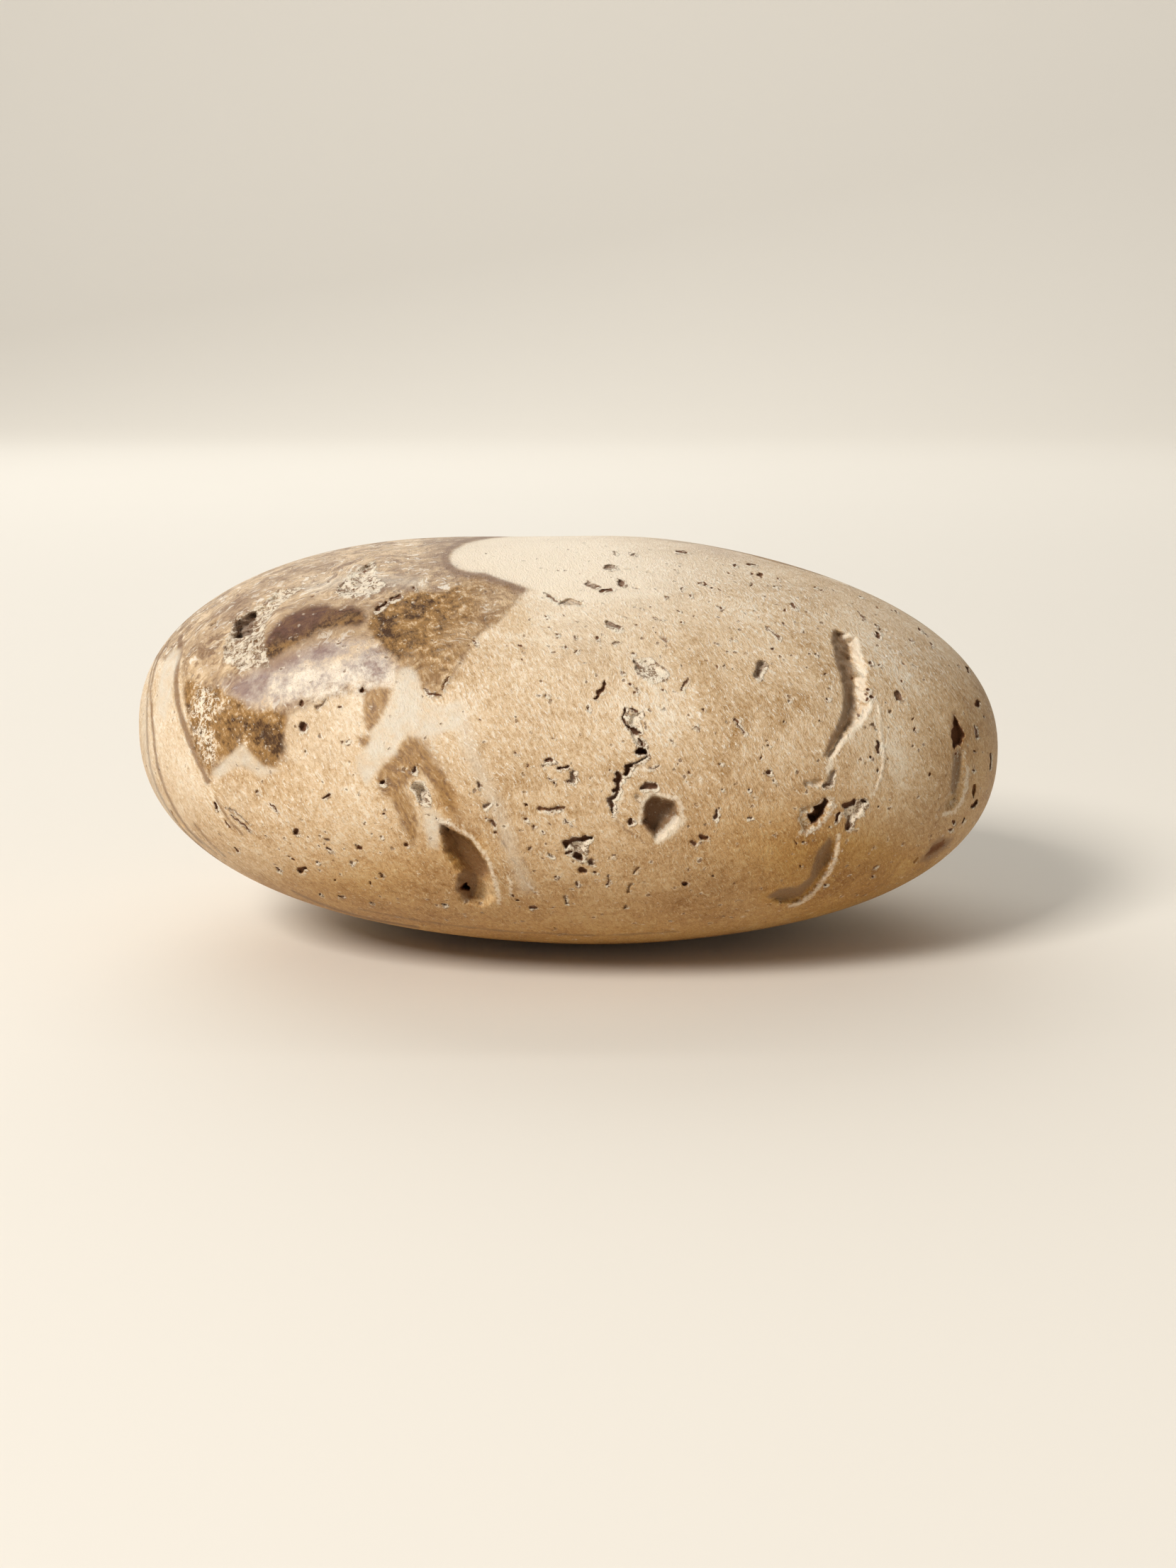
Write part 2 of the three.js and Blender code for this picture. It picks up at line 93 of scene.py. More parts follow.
# A pocket is a closed outline, and its wall is how wide its walls are in mm. A third number in
# a corner is the width of the wall that starts there, where it differs.
POCKETS = [
    # six-sided socket, with a slanting wall at its lower right
    Hollow("face", 1.9, 0.25, 0.25, [(6.65, -5.7), (7.35, -5.15), (8.2, -5.45), (9.1, -5.6),
        (9.45, -6.3, 0.8), (9.55, -7.3, 1.3), (8.9, -8.2, 1.2), (8.2, -8.85, 0.9), (7.6, -8.95, 0.5),
        (7.2, -8.4), (6.45, -7.4), (6.55, -6.3)], wall=0.42),
    # drop-shaped cavity: a sharp rim on the right, an easy slope on the left
    Hollow("face", 2.2, 0.27, 0, [(-10.25, -7.55), (-10, -7.35), (-9.5, -7.6), (-8.8, -8.1),
        (-7.7, -8.85), (-7.3, -9.3), (-6.8, -9.95), (-6.3, -10.8), (-6.1, -11.5, 0.6), (-5.9, -12.6, 1.2),
        (-5.6, -14.1, 1.7), (-6.6, -14.9, 1.6), (-8.2, -14.9, 1.4), (-9.1, -14.2, 1.1), (-9.15, -12.9, 1),
        (-8.85, -11.6, 1.3), (-9.5, -10.8, 1.3), (-10, -10, 1.1), (-10.15, -8.7, 0.6)], wall=0.35),
    # hole in the floor of the cavity
    Hollow("face", 3.8, 1, 0, [(-8.75, -12.75), (-8.1, -12.55), (-8.1, -13), (-7.85, -13.3),
        (-8.2, -13.75), (-8.6, -13.6), (-8.85, -13.2)], wall=0.3),
    # long bent groove with an easy left side and a ragged, slanting right side
    Hollow("face", 1.2, 0.1, 0.2, [(23.5, 9, 0.5), (24.4, 8.7, 0.7), (25.4, 8.2, 0.9), (25.6, 6.7, 1),
        (26.1, 5.5, 1.1), (25.8, 4.4, 1), (26, 3.4, 1), (26, 2.2, 0.9), (25.3, 0.9, 0.8),
        (24.2, -0.1, 0.7), (23.2, -1.1, 0.5), (22.2, -2.5, 0.4), (21.6, -1.9, 0.8), (22.2, -0.8),
        (22.8, 0.1), (23.2, 1.4), (23.5, 3.2), (23.4, 4.4), (23.1, 5.8),
        (22.9, 8.1, 0.6)], wall=1, rough=0.25),
    # curved groove low on the right, with a broad pale outer wall
    Hollow("face", 0.9, 0.15, 0.1, [(22.9, -8.7, 0.5), (23.1, -9.8, 0.5), (22.9, -10.9, 0.5),
        (22.5, -12, 0.5), (21.9, -13.2, 0.5), (21.1, -14.2, 0.5), (20.2, -14.8, 0.5), (18.8, -14.75, 0.5),
        (17.3, -14.3), (17.6, -13.6), (18.8, -13.1), (20, -12.8), (20.8, -12.2), (20.9, -10.9),
        (21.2, -10.1), (22, -9)], wall=1.1),
    # slot near the right end
    Hollow("face", 0.9, 1, 0.2, [(34.15, 1.6), (34.65, 0.7), (35.1, 0), (34.95, -0.8), (34.4, -1.3),
        (33.8, -1.6), (33.6, -0.5), (33.7, 0.6)], wall=0.3, flood=5),
    # smooth trough below that slot
    Hollow("face", 0.75, 0, 0.3, [(33.6, -1.6), (35.1, -1), (35.35, -3), (35.3, -4.8), (34.9, -6.1),
        (34.1, -6.95), (33.1, -6.9, 0.4), (33, -6.2, 0.4), (33.6, -4.4), (33.5, -3)], wall=0.9),
    # rough rock round the three-cornered hole
    Hollow("face", 0.4, 0, 0.6, [(-28.9, 10), (-27, 11.1), (-25.4, 12.7), (-23.1, 13), (-25, 11.2),
        (-26, 9.6), (-25.9, 7.9), (-25.2, 5.6), (-27.8, 5.5), (-29.4, 6.2),
        (-29.6, 7.5)], wall=0.5, rough=0.6),
    # three-cornered hole
    Hollow("face", 1.8, 0.5, 0.4, [(-28.9, 9.8), (-27.9, 10.4), (-27, 10.9), (-26.8, 10.3), (-27, 9.6),
        (-26.9, 8.2), (-28, 8), (-28.9, 8.1)], wall=0.35, rough=0.25, flood=1.6),
    # ragged hole, with a slope at its lower right
    Hollow("face", 1.7, 1, 0.4, [(22.2, -5.2, 0.4), (22.35, -5.9, 0.4), (21.9, -6.5, 0.4),
        (21.75, -7, 0.4), (21.3, -7.55, 0.4), (20.7, -7.7), (20.4, -7.2), (20.35, -6.8), (20.85, -6.5),
        (20.65, -6.1), (21.3, -6), (21.85, -5.8), (22, -5.4)], wall=0.28, rough=0.2, flood=4),
    # broken ground round the ragged hole
    Hollow("face", 0.35, 0, 0.45, [(22.4, -5.2), (22.65, -6), (22.2, -6.9), (21.5, -7.8), (20.6, -8.4),
        (19.9, -8.4), (19.4, -7.4), (19.7, -6.2), (20.6, -5.9)], wall=0.5, rough=0.35),
    # ragged cavity above the drop-shaped one
    Hollow("face", 0.9, 0.3, 0.9, [(-12.7, -4.5), (-12.2, -4), (-11.7, -3.9), (-11.3, -4.6),
        (-10.95, -5.4), (-11.15, -6.05), (-11.8, -5.8), (-12.2, -5.1)], wall=0.3, rough=0.6),
    # bay at the lower right edge
    Hollow("face", 0.6, 0.7, 0, [(31.4, -11, 0.35), (31.9, -10.4, 0.35), (32.3, -9.8, 0.35),
        (32.8, -9.5, 0.35), (33.6, -9.4, 0.35), (34.1, -9.7), (33.6, -10.4), (32.4, -11),
        (31.6, -11.3)], wall=0.9, flood=3),
    # crescent hollow
    Hollow("face", 0.6, 0, 0.95, [(0.2, -9.8), (0.3, -9.1), (0.5, -8.6), (1, -8.5), (1.3, -8.8),
        (1.8, -8.4), (2.25, -8.7), (1.9, -9.1), (2, -9.7), (1.2, -9.9),
        (0.6, -9.5)], wall=0.3, rough=0.5),
    # pitted patch near the crown
    Hollow("face", 0.45, 0, 0.8, [(-20, 12.2), (-19, 11.7), (-17.5, 11.9), (-16.2, 12.3), (-15.7, 13),
        (-16.6, 13.4), (-16.9, 14.8), (-17.1, 15.5), (-18, 14.8), (-19.5, 13.4)], wall=0.4, rough=0.5),
    # rough notch right of the ragged hole
    Hollow("face", 0.4, 0, 0.7, [(23.4, -6.1), (24.2, -5.6), (25.6, -5.6), (25.5, -6.2), (24.9, -7),
        (24.5, -7.4), (24.4, -8.2), (23.9, -8.3), (23.7, -7.3)], wall=0.35, rough=0.5),
    # broken ground round the crescent pit in the middle
    Hollow("face", 0.25, 0, 0.7, [(5.9, 6.1), (7, 6.3), (8.4, 5.2), (8.5, 4.4), (7.3, 4.2),
        (6.2, 4.8)], wall=0.5, rough=0.35),
    # bean-shaped cavity on the back
    Hollow("back", 1.5, 0.3, 0.2, [(-17.2, 1.4), (-16.6, 2.8), (-14.8, 3.8), (-12.6, 3.9), (-11.2, 2.9),
        (-11.3, 1.8, 1.2), (-12.8, 1.3, 1.2), (-14.2, 0.3, 1.2), (-16, 0.2)], wall=0.6),
    # five-sided socket on the back
    Hollow("back", 1.5, 0.25, 0.25, [(19.2, -4.6), (20.9, -4), (22, -5.4, 0.9), (21.2, -7.1, 0.9),
        (19.3, -6.8)], wall=0.45),
    # rough patch on the back
    Hollow("back", 0.5, 0, 0.7, [(-3.8, 9.2), (-2.2, 10.9), (0.6, 11.2), (1.4, 9.9), (-0.4, 9.4),
        (-1.3, 8.1)], wall=0.5, rough=0.45),
    # shallow oval bay on the crown
    Hollow("crown", 0.9, 0.1, 0.2, [(-15, 13.6), (-13.4, 14.8), (-11.2, 14.9), (-9.9, 13.7),
        (-11.2, 12.5), (-13.8, 12.4)], wall=0.8),
    # flat-floored chip on the underside
    Hollow("underside", 0.8, 0.1, 0.3, [(14.8, 8.6), (16.4, 9.9), (18.9, 9.4), (19.2, 7.6),
        (17, 6.8)], wall=0.7),
]

# A groove has no wall. It is a path of (right, up, half width) points, and one point alone is
# a round pit.
GROOVES = [
    # ragged crack down the middle, with a hole in it
    Hollow("face", 0.5, 0.8, 0.9, [(5.1, 1.9, 0.08), (5, 1.3, 0.11), (5.15, 0.7, 0.1)]),
    Hollow("face", 0.4, 0.9, 0.6, [(5.5, 1.9, 0.12), (6, 1.75, 0.12)]),
    Hollow("face", 0.4, 0, 1, [(6.3, 1.6, 0.12), (5.7, 1.3, 0.25), (5.75, 0.8, 0.25), (6.1, 0.3, 0.16)]),
    Hollow("face", 0.8, 0.9, 0.7, [(5.2, 0.5, 0.1), (5.6, 0.3, 0.14), (5.9, 0, 0.2), (6.25, 0, 0.1)]),
    Hollow("face", 0.4, 0.2, 0.9, [(5.8, -0.2, 0.16), (6.1, -0.8, 0.24), (6.5, -0.9, 0.2)]),
    Hollow("face", 0.8, 0.9, 0.7, [(6.2, -0.5, 0.09), (6.3, -0.9, 0.13)]),
    Hollow("face", 1.5, 1, 0.8, [(6.2, -1.5, 0.3), (6.5, -1.5, 0.36), (6.75, -1.75, 0.22)]),
    Hollow("face", 0.6, 0.6, 0.8, [(6.85, -2.1, 0.09), (6.2, -2.35, 0.12), (5.8, -2.5, 0.13)]),
    Hollow("face", 0.9, 0.95, 0.9, [(5.6, -2.65, 0.18), (5.25, -2.7, 0.15), (5.45, -3, 0.22),
        (5.15, -3.4, 0.2)]),
    Hollow("face", 0.8, 0.9, 0.9, [(4.45, -3.5, 0.18), (4.75, -3.8, 0.22), (4.4, -4.2, 0.24),
        (4.45, -4.6, 0.22), (4.15, -4.8, 0.16)]),
    Hollow("face", 0.7, 0.75, 0.9, [(4.35, -5, 0.14), (4.15, -5.3, 0.2), (3.85, -5.55, 0.22),
        (4.1, -6, 0.14), (4.1, -6.7, 0.06)]),
    Hollow("face", 0.3, 0.2, 0.2, [(-35.3, -7.1, 0.12), (-34.8, -7.8, 0.3), (-34.15, -8.25, 0.25)]),
    Hollow("face", 0.9, 0.5, 0.8, [(16.6, 5.7, 0.36), (16.2, 4.8, 0.3)]),
    Hollow("face", 0.7, 0.8, 0.5, [(23.55, -6.15, 0.2), (24.3, -5.8, 0.28)]),
    Hollow("face", 0.7, 0.8, 0.5, [(25.05, -5.85, 0.2), (25.6, -5.9, 0.1)]),
    Hollow("face", 0.6, 0.7, 0.6, [(24, -7.4, 0.18), (23.9, -8, 0.26)]),
    Hollow("face", 0.9, 0.8, 0.6, [(0.3, -9.7, 0.14), (0.3, -9.2, 0.28), (0.8, -8.8, 0.24),
        (1.3, -8.75, 0.18), (1.75, -8.6, 0.24), (2.2, -8.75, 0.14)]),
    Hollow("face", 0.8, 1, 0.9, [(1.15, -10.1, 0.28), (1.55, -10.3, 0.32)]),
    Hollow("face", 0.4, 0.8, 0.9, [(0.35, -10.2, 0.1), (0.7, -9.95, 0.14)]),
    Hollow("face", 0.5, 0.5, 0.6, [(22.5, -3.3, 0.2), (22.3, -4.2, 0.3), (21.8, -4.4, 0.2)]),
    Hollow("face", 0.35, 0.2, 0.4, [(20.2, -4.3, 0.2), (21.4, -4.1, 0.25)]),
    Hollow("face", 0.6, 0.8, 0.9, [(6.45, -4.5, 0.22), (6.8, -4.4, 0.28), (7.3, -4.5, 0.22),
        (7.6, -4.6, 0.1)]),
    Hollow("face", 0.35, 0.1, 0.5, [(6.1, -5.35, 0.36)]),
    Hollow("face", 0.6, 0.8, 0.5, [(36.1, -6.5, 0.18), (36.7, -6.2, 0.25)]),
    Hollow("face", 0.5, 0.7, 0.3, [(36.15, -5.7, 0.1), (36.3, -4.85, 0.22)]),
    Hollow("face", 0.5, 0.5, 0.5, [(6, 5.9, 0.14), (6.3, 5.4, 0.22), (6.8, 5.1, 0.15)]),
    Hollow("face", 0.45, 0.4, 0.4, [(-0.3, 11, 0.16), (0.4, 11.1, 0.28), (1.5, 10.85, 0.16)]),
    Hollow("face", 0.5, 0.5, 0.7, [(3.65, 14.5, 0.25), (4.3, 14.5, 0.2)]),
    Hollow("face", 0.5, 0.7, 0.5, [(28.4, 3.3, 0.22), (28.7, 2.9, 0.26)]),
    # slots along the thin ridge on the right
    Hollow("face", 0.5, 0.7, 0.5, [(26.5, -0.8, 0.18), (26.5, -1.6, 0.2)]),
    # faint dents at the lower edge
    Hollow("face", 0.2, 0.3, 0.1, [(5.1, -16.9, 0.4), (6.6, -16.6, 0.6), (7.7, -17, 0.4)]),
    Hollow("face", 0.12, 0.2, 0.1, [(12.2, -15.4, 0.2), (13.8, -14.6, 0.3)]),
    # white vein with pits, upper left
    Hollow("face", 0.5, 0.8, 0.8, [(-16.1, 10.45, 0.16), (-15.3, 10.9, 0.2)]),
    Hollow("face", 0.4, 0.7, 0.8, [(-14.9, 11.3, 0.15), (-14.1, 11.75, 0.14)]),
    Hollow("face", 0.4, 0.7, 0.8, [(-12.9, 12.35, 0.14)]),
    # grooves on the other sides
    Hollow("back", 1.2, 0.3, 0.2, [(6, 8, 0.35), (8.6, 5.6, 0.75), (10.2, 2.4, 0.8), (11.6, -1.2, 0.35)]),
    Hollow("back", 0.9, 0.2, 0.4, [(-24, -2, 0.35), (-25.4, -5, 0.7), (-24, -8, 0.6),
        (-21.2, -9.8, 0.35)]),
    Hollow("back", 1.1, 0.6, 0.6, [(0.6, -4.8, 0.35), (0, -6, 0.6), (-1.3, -7, 0.4), (-1.5, -8.6, 0.35)]),
    Hollow("back", 0.7, 0.6, 0.5, [(27.6, 4.2, 0.35), (28.6, 3.2, 0.45)]),
    Hollow("crown", 0.9, 0.4, 0.4, [(9.4, 11.2, 0.35), (12.6, 13.4, 0.7), (16.8, 14.2, 0.35)]),
    Hollow("crown", 0.7, 0.3, 0.4, [(-27.4, 8.6, 0.35), (-26.4, 11.2, 0.5)]),
    Hollow("underside", 0.9, 0.4, 0.4, [(-20.4, -5.2, 0.35), (-18.2, -3.4, 0.7), (-16.6, -0.4, 0.4)]),
    Hollow("underside", 0.7, 0.5, 0.4, [(2.4, -16.2, 0.35), (4.6, -15.2, 0.5)]),
]

# ------------------------------------------------------------------ the small pits of the face

# Round pits of the face: (right, up, radius) in mm.
FACE_PITS = [
    # left of the middle
    (-21.8, 0.4, 0.36), (-21.8, 2.3, 0.2), (-21.5, -1.6, 0.14), (-18.4, -0.8, 0.14), (-17.9, -0.75, 0.14),
    (-18.6, 2, 0.18), (-12.3, -3.1, 0.2), (-14.8, -4.1, 0.24), (-6.9, -4.25, 0.2), (-6.8, 1.2, 0.14),
    (-3.9, -1.8, 0.12), (-2.8, -2.7, 0.12), (-7.5, 7.6, 0.12), (-7.3, 7.3, 0.12), (-7.9, 7.2, 0.1),
    (-3.6, 7.2, 0.12), (-3.3, 7.05, 0.1), (-3.4, 6.6, 0.1), (-3.4, 5.9, 0.1), (-19.5, 12.3, 0.2),
    (-17, 13.2, 0.16), (-18.5, 13.1, 0.16), (-18.3, 12.4, 0.14), (-17.7, 14.2, 0.14),
    # above the middle
    (4.5, 16.1, 0.14), (6.2, 15.9, 0.14), (4.9, 12.9, 0.28), (-0.6, 8.2, 0.1), (-1.4, 8.9, 0.1),
    (-1.6, 9.8, 0.1), (2.8, 7.8, 0.14), (0.9, 8, 0.1), (-0.05, 7.1, 0.1), (0.25, 7.15, 0.1),
    (6.1, 9, 0.1), (7.6, 9.7, 0.12), (8.2, 9.5, 0.1), (9.7, 10.4, 0.12), (9.9, 9.2, 0.1), (11, 9.8, 0.1),
    (13.4, 10.6, 0.12), (8.7, 11.6, 0.1), (10.9, 11.8, 0.12), (10.1, 12.5, 0.1), (9.75, 14.3, 0.1),
    (11.6, 13, 0.12), (12.2, 13, 0.12), (12.7, 12.6, 0.12), (13.5, 12.4, 0.12), (14.5, 14.1, 0.12),
    (15.2, 15, 0.15), (12.7, 7.5, 0.12), (14.2, 7.8, 0.12),
    # upper right
    (17.4, 14, 0.3), (16.6, 14.1, 0.15), (16.4, 12.9, 0.12), (17.9, 12.85, 0.12), (18.6, 12.8, 0.12),
    (19, 13.8, 0.12), (22.3, 13, 0.12), (22.9, 12.8, 0.12), (24.1, 12.8, 0.12), (26.8, 12.4, 0.12),
    (26.6, 13.8, 0.12), (19, 10.6, 0.12), (21.1, 10.5, 0.12), (18.8, 9.3, 0.15), (19.9, 9.5, 0.12),
    (27.5, 9.5, 0.12), (27.8, 9.1, 0.12), (27.4, 8.6, 0.24), (32.2, 9.3, 0.15), (32.7, 8.9, 0.12),
    (32.9, 7.9, 0.15), (30.7, 8.3, 0.12), (30.3, 11.1, 0.12), (29.7, 11.2, 0.12), (28.3, 11.4, 0.12),
    # middle
    (6.9, 5.9, 0.14), (5.7, 6.5, 0.12), (-1.4, 3, 0.13), (2.1, 1.9, 0.12), (5.5, 4, 0.12), (6, 3.7, 0.12),
    (5.9, 3.3, 0.12), (8.2, 3.5, 0.12), (4.8, 4.9, 0.12), (1.1, 6.7, 0.1), (1.7, 5.9, 0.1),
    (11.9, 6, 0.12), (13.3, 5.5, 0.12), (12.8, 5.5, 0.1), (13.6, 6.8, 0.12), (-1.6, -2.7, 0.15),
    (-0.8, -4.1, 0.16), (0.4, -4, 0.15), (-1, -3.7, 0.12), (3.9, -3.1, 0.12), (-0.8, -0.6, 0.1),
    (8.9, -0.7, 0.12), (10.9, 0.4, 0.12), (11.5, 1.8, 0.12), (16.8, -0.6, 0.12), (17, -1.1, 0.12),
    (13, -2.6, 0.12), (16.2, -2.3, 0.12), (16.9, -3.4, 0.18), (17.4, -4, 0.15), (15.3, -4.8, 0.12),
    (13.2, -4.7, 0.1), (10.4, -3.4, 0.12),
    # right
    (25.8, 3.6, 0.15), (25.6, 3.2, 0.15), (25.7, 2.8, 0.15), (26, 3.1, 0.15), (24.8, 1.4, 0.15),
    (27.7, 1.8, 0.15), (29.8, 1.2, 0.12), (29.9, 0.3, 0.12), (29.7, -1.1, 0.12), (31.4, -3.7, 0.12),
    (26.2, 5.9, 0.12), (27.2, 5.7, 0.12), (24.5, 4.6, 0.12), (21.3, 6.7, 0.12), (17.6, 7.1, 0.12),
    (22.1, 5, 0.12), (22.1, 2.8, 0.12), (18.7, 2.6, 0.12), (18.2, 0.9, 0.12), (25.8, -2.1, 0.15),
    (26.4, -3.2, 0.15), (36.1, -1.6, 0.12), (36, -3.3, 0.12), (37.5, 1.5, 0.12), (35.5, 6.1, 0.12),
    (36.7, 5.8, 0.24), (34.15, -7.95, 0.14), (34.05, -8.6, 0.15), (22.25, -7.85, 0.1), (20.2, -9.2, 0.1),
    (19.85, -11.15, 0.1), (26.8, -12.4, 0.12), (22.4, -13.1, 0.12), (15.3, -4.8, 0.1),
    # lower left
    (-25.9, -5.1, 0.14), (-22.7, -8.4, 0.26), (-23.1, -10.85, 0.13), (-21.3, -14, 0.13),
    (-13, -9.35, 0.19), (-17.1, -9.65, 0.2), (-17.3, -9.4, 0.1), (-19.9, -9.1, 0.16),
    (-17.9, -10.95, 0.14), (-20.9, -11, 0.13), (-16, -8.55, 0.1), (-15.1, -8.6, 0.1),
    (-19.5, -12.55, 0.13), (-16.5, -12.85, 0.12), (-16.6, -14.5, 0.15), (-10.2, -14.6, 0.15),
    (-10.45, -7.05, 0.08),
    # lower middle
    (-5.5, -8.3, 0.13), (-6.2, -7.1, 0.08), (-3, -6.1, 0.2), (-3, -7.2, 0.15), (-2.4, -7.7, 0.12),
    (-2.9, -9.7, 0.15), (-4.3, -13.7, 0.13), (-3.9, -14.1, 0.13), (-2.7, -14.8, 0.15), (-1.1, -7.45, 0.1),
    (-1.65, -8.15, 0.1), (-0.7, -12.1, 0.1), (2.4, -10.7, 0.26), (1.6, -11.45, 0.33), (2.7, -11.6, 0.13),
    (1.1, -12.7, 0.14), (5.1, -14.85, 0.17), (12.9, -6.3, 0.1), (12.5, -11.95, 0.14), (-0.9, -16.8, 0.1),
]

# Slits of the face: (right, up, right, up, half width) in mm, from one end to the other.
FACE_SLITS = [
    (-20.6, 2.1, -19.8, 2.8, 0.18), (10, 16.3, 10.8, 16.3, 0.15), (2, 12.8, 3, 12.7, 0.15),
    (3.1, 12.2, 4, 12.3, 0.15), (-1.5, 11.6, -0.6, 11.1, 0.14), (3.7, 9.2, 4.7, 8.7, 0.22),
    (4, 7.5, 4.5, 7.5, 0.12), (16.4, 15.2, 17.1, 15.2, 0.15), (19.8, 11.2, 20.1, 10.8, 0.12),
    (26, 10.8, 26.4, 10, 0.12), (17.2, 8.9, 18.2, 8, 0.1), (3.5, 4.1, 2.7, 2.9, 0.2),
    (10.2, 4.4, 9.8, 3.5, 0.12), (7.1, -3, 7.7, -2.7, 0.14), (-1.4, -2.3, -0.9, -2.3, 0.15),
    (-0.4, -2.9, 0.3, -2.8, 0.22), (0.7, -3.3, 0.7, -3.9, 0.24), (14.2, 1, 15, 0, 0.12),
    (26, 0.6, 26.4, 0.2, 0.15), (36.3, 0.6, 36.5, -0.3, 0.15), (38.3, -2, 38.3, -3.2, 0.2),
    (-30.1, -6.1, -30, -6.5, 0.18), (-29.1, -7.6, -28.9, -8.1, 0.1), (-28.7, -7, -27, -8.4, 0.11),
    (-28.6, -6.4, -27, -7.8, 0.09), (-24.8, -6, -24.2, -6.6, 0.08), (-28.8, -10.05, -28.6, -10.35, 0.14),
    (-23.6, -10.6, -23.4, -10.7, 0.12), (-22.7, -11.8, -22.2, -11.6, 0.24),
    (-24.9, -11.7, -24.7, -12, 0.13), (-19.9, -5.35, -19.5, -5.15, 0.14), (-20, -9.9, -19.7, -10, 0.11),
    (-15.45, -11.8, -15.3, -12.1, 0.16), (-19.6, -14.1, -19.3, -14.2, 0.14),
    (-6.5, -6.1, -6.1, -5.9, 0.15), (-5.85, -7.3, -5.55, -7.75, 0.16), (-1.3, -10.05, -0.95, -10.3, 0.12),
    (0.2, -7.2, 0.45, -7.55, 0.12), (-2, -6.25, -1.2, -6.35, 0.14), (-1.2, -6.35, -0.5, -6.2, 0.16),
    (-0.5, -6.2, 0, -6.2, 0.13), (3.7, -11.8, 3.75, -12.3, 0.11), (3.75, -12.3, 3.5, -12.7, 0.1),
    (0.15, -13.7, 0.15, -14.3, 0.15), (5.6, -12.8, 5.4, -13.3, 0.18), (5.8, -11.65, 6.2, -11.3, 0.13),
    (5.55, -7.15, 5.62, -7.4, 0.24), (12.65, -6.6, 12.55, -7, 0.2), (11.5, -8.65, 11.95, -8.7, 0.2),
    (10.6, -9, 10.85, -9.2, 0.13), (15.2, -7.1, 15.6, -7.15, 0.12), (-2.8, -14.75, -2.3, -14.9, 0.12),
    (23.1, -6.8, 22.8, -7.4, 0.14), (19.3, -8.9, 19.5, -9.4, 0.07), (35.45, -7.6, 35.35, -8, 0.13),
    (30.85, -11, 30.75, -11.4, 0.1), (-11.5, 3.4, -11, 3.1, 0.12), (-11, 3.1, -10.2, 3.1, 0.12),
    (-9.9, 3.6, -9.4, 4.6, 0.11), (4, -10.25, 4.35, -10.2, 0.08),
]

# Thin ridges of the face, left standing by the polishing: (right, up, half width) paths.
FACE_RIDGES = [
    [(26.6, 2.3, 0.12), (26.8, 0.5, 0.14), (26.95, -1, 0.14), (27, -2.5, 0.14), (26.8, -3.6, 0.12),
        (26.4, -4.8, 0.1)],
    [(28.8, 2.7, 0.1), (29.5, 2.2, 0.08)],
]

# ------------------------------------------------------------------ the markings

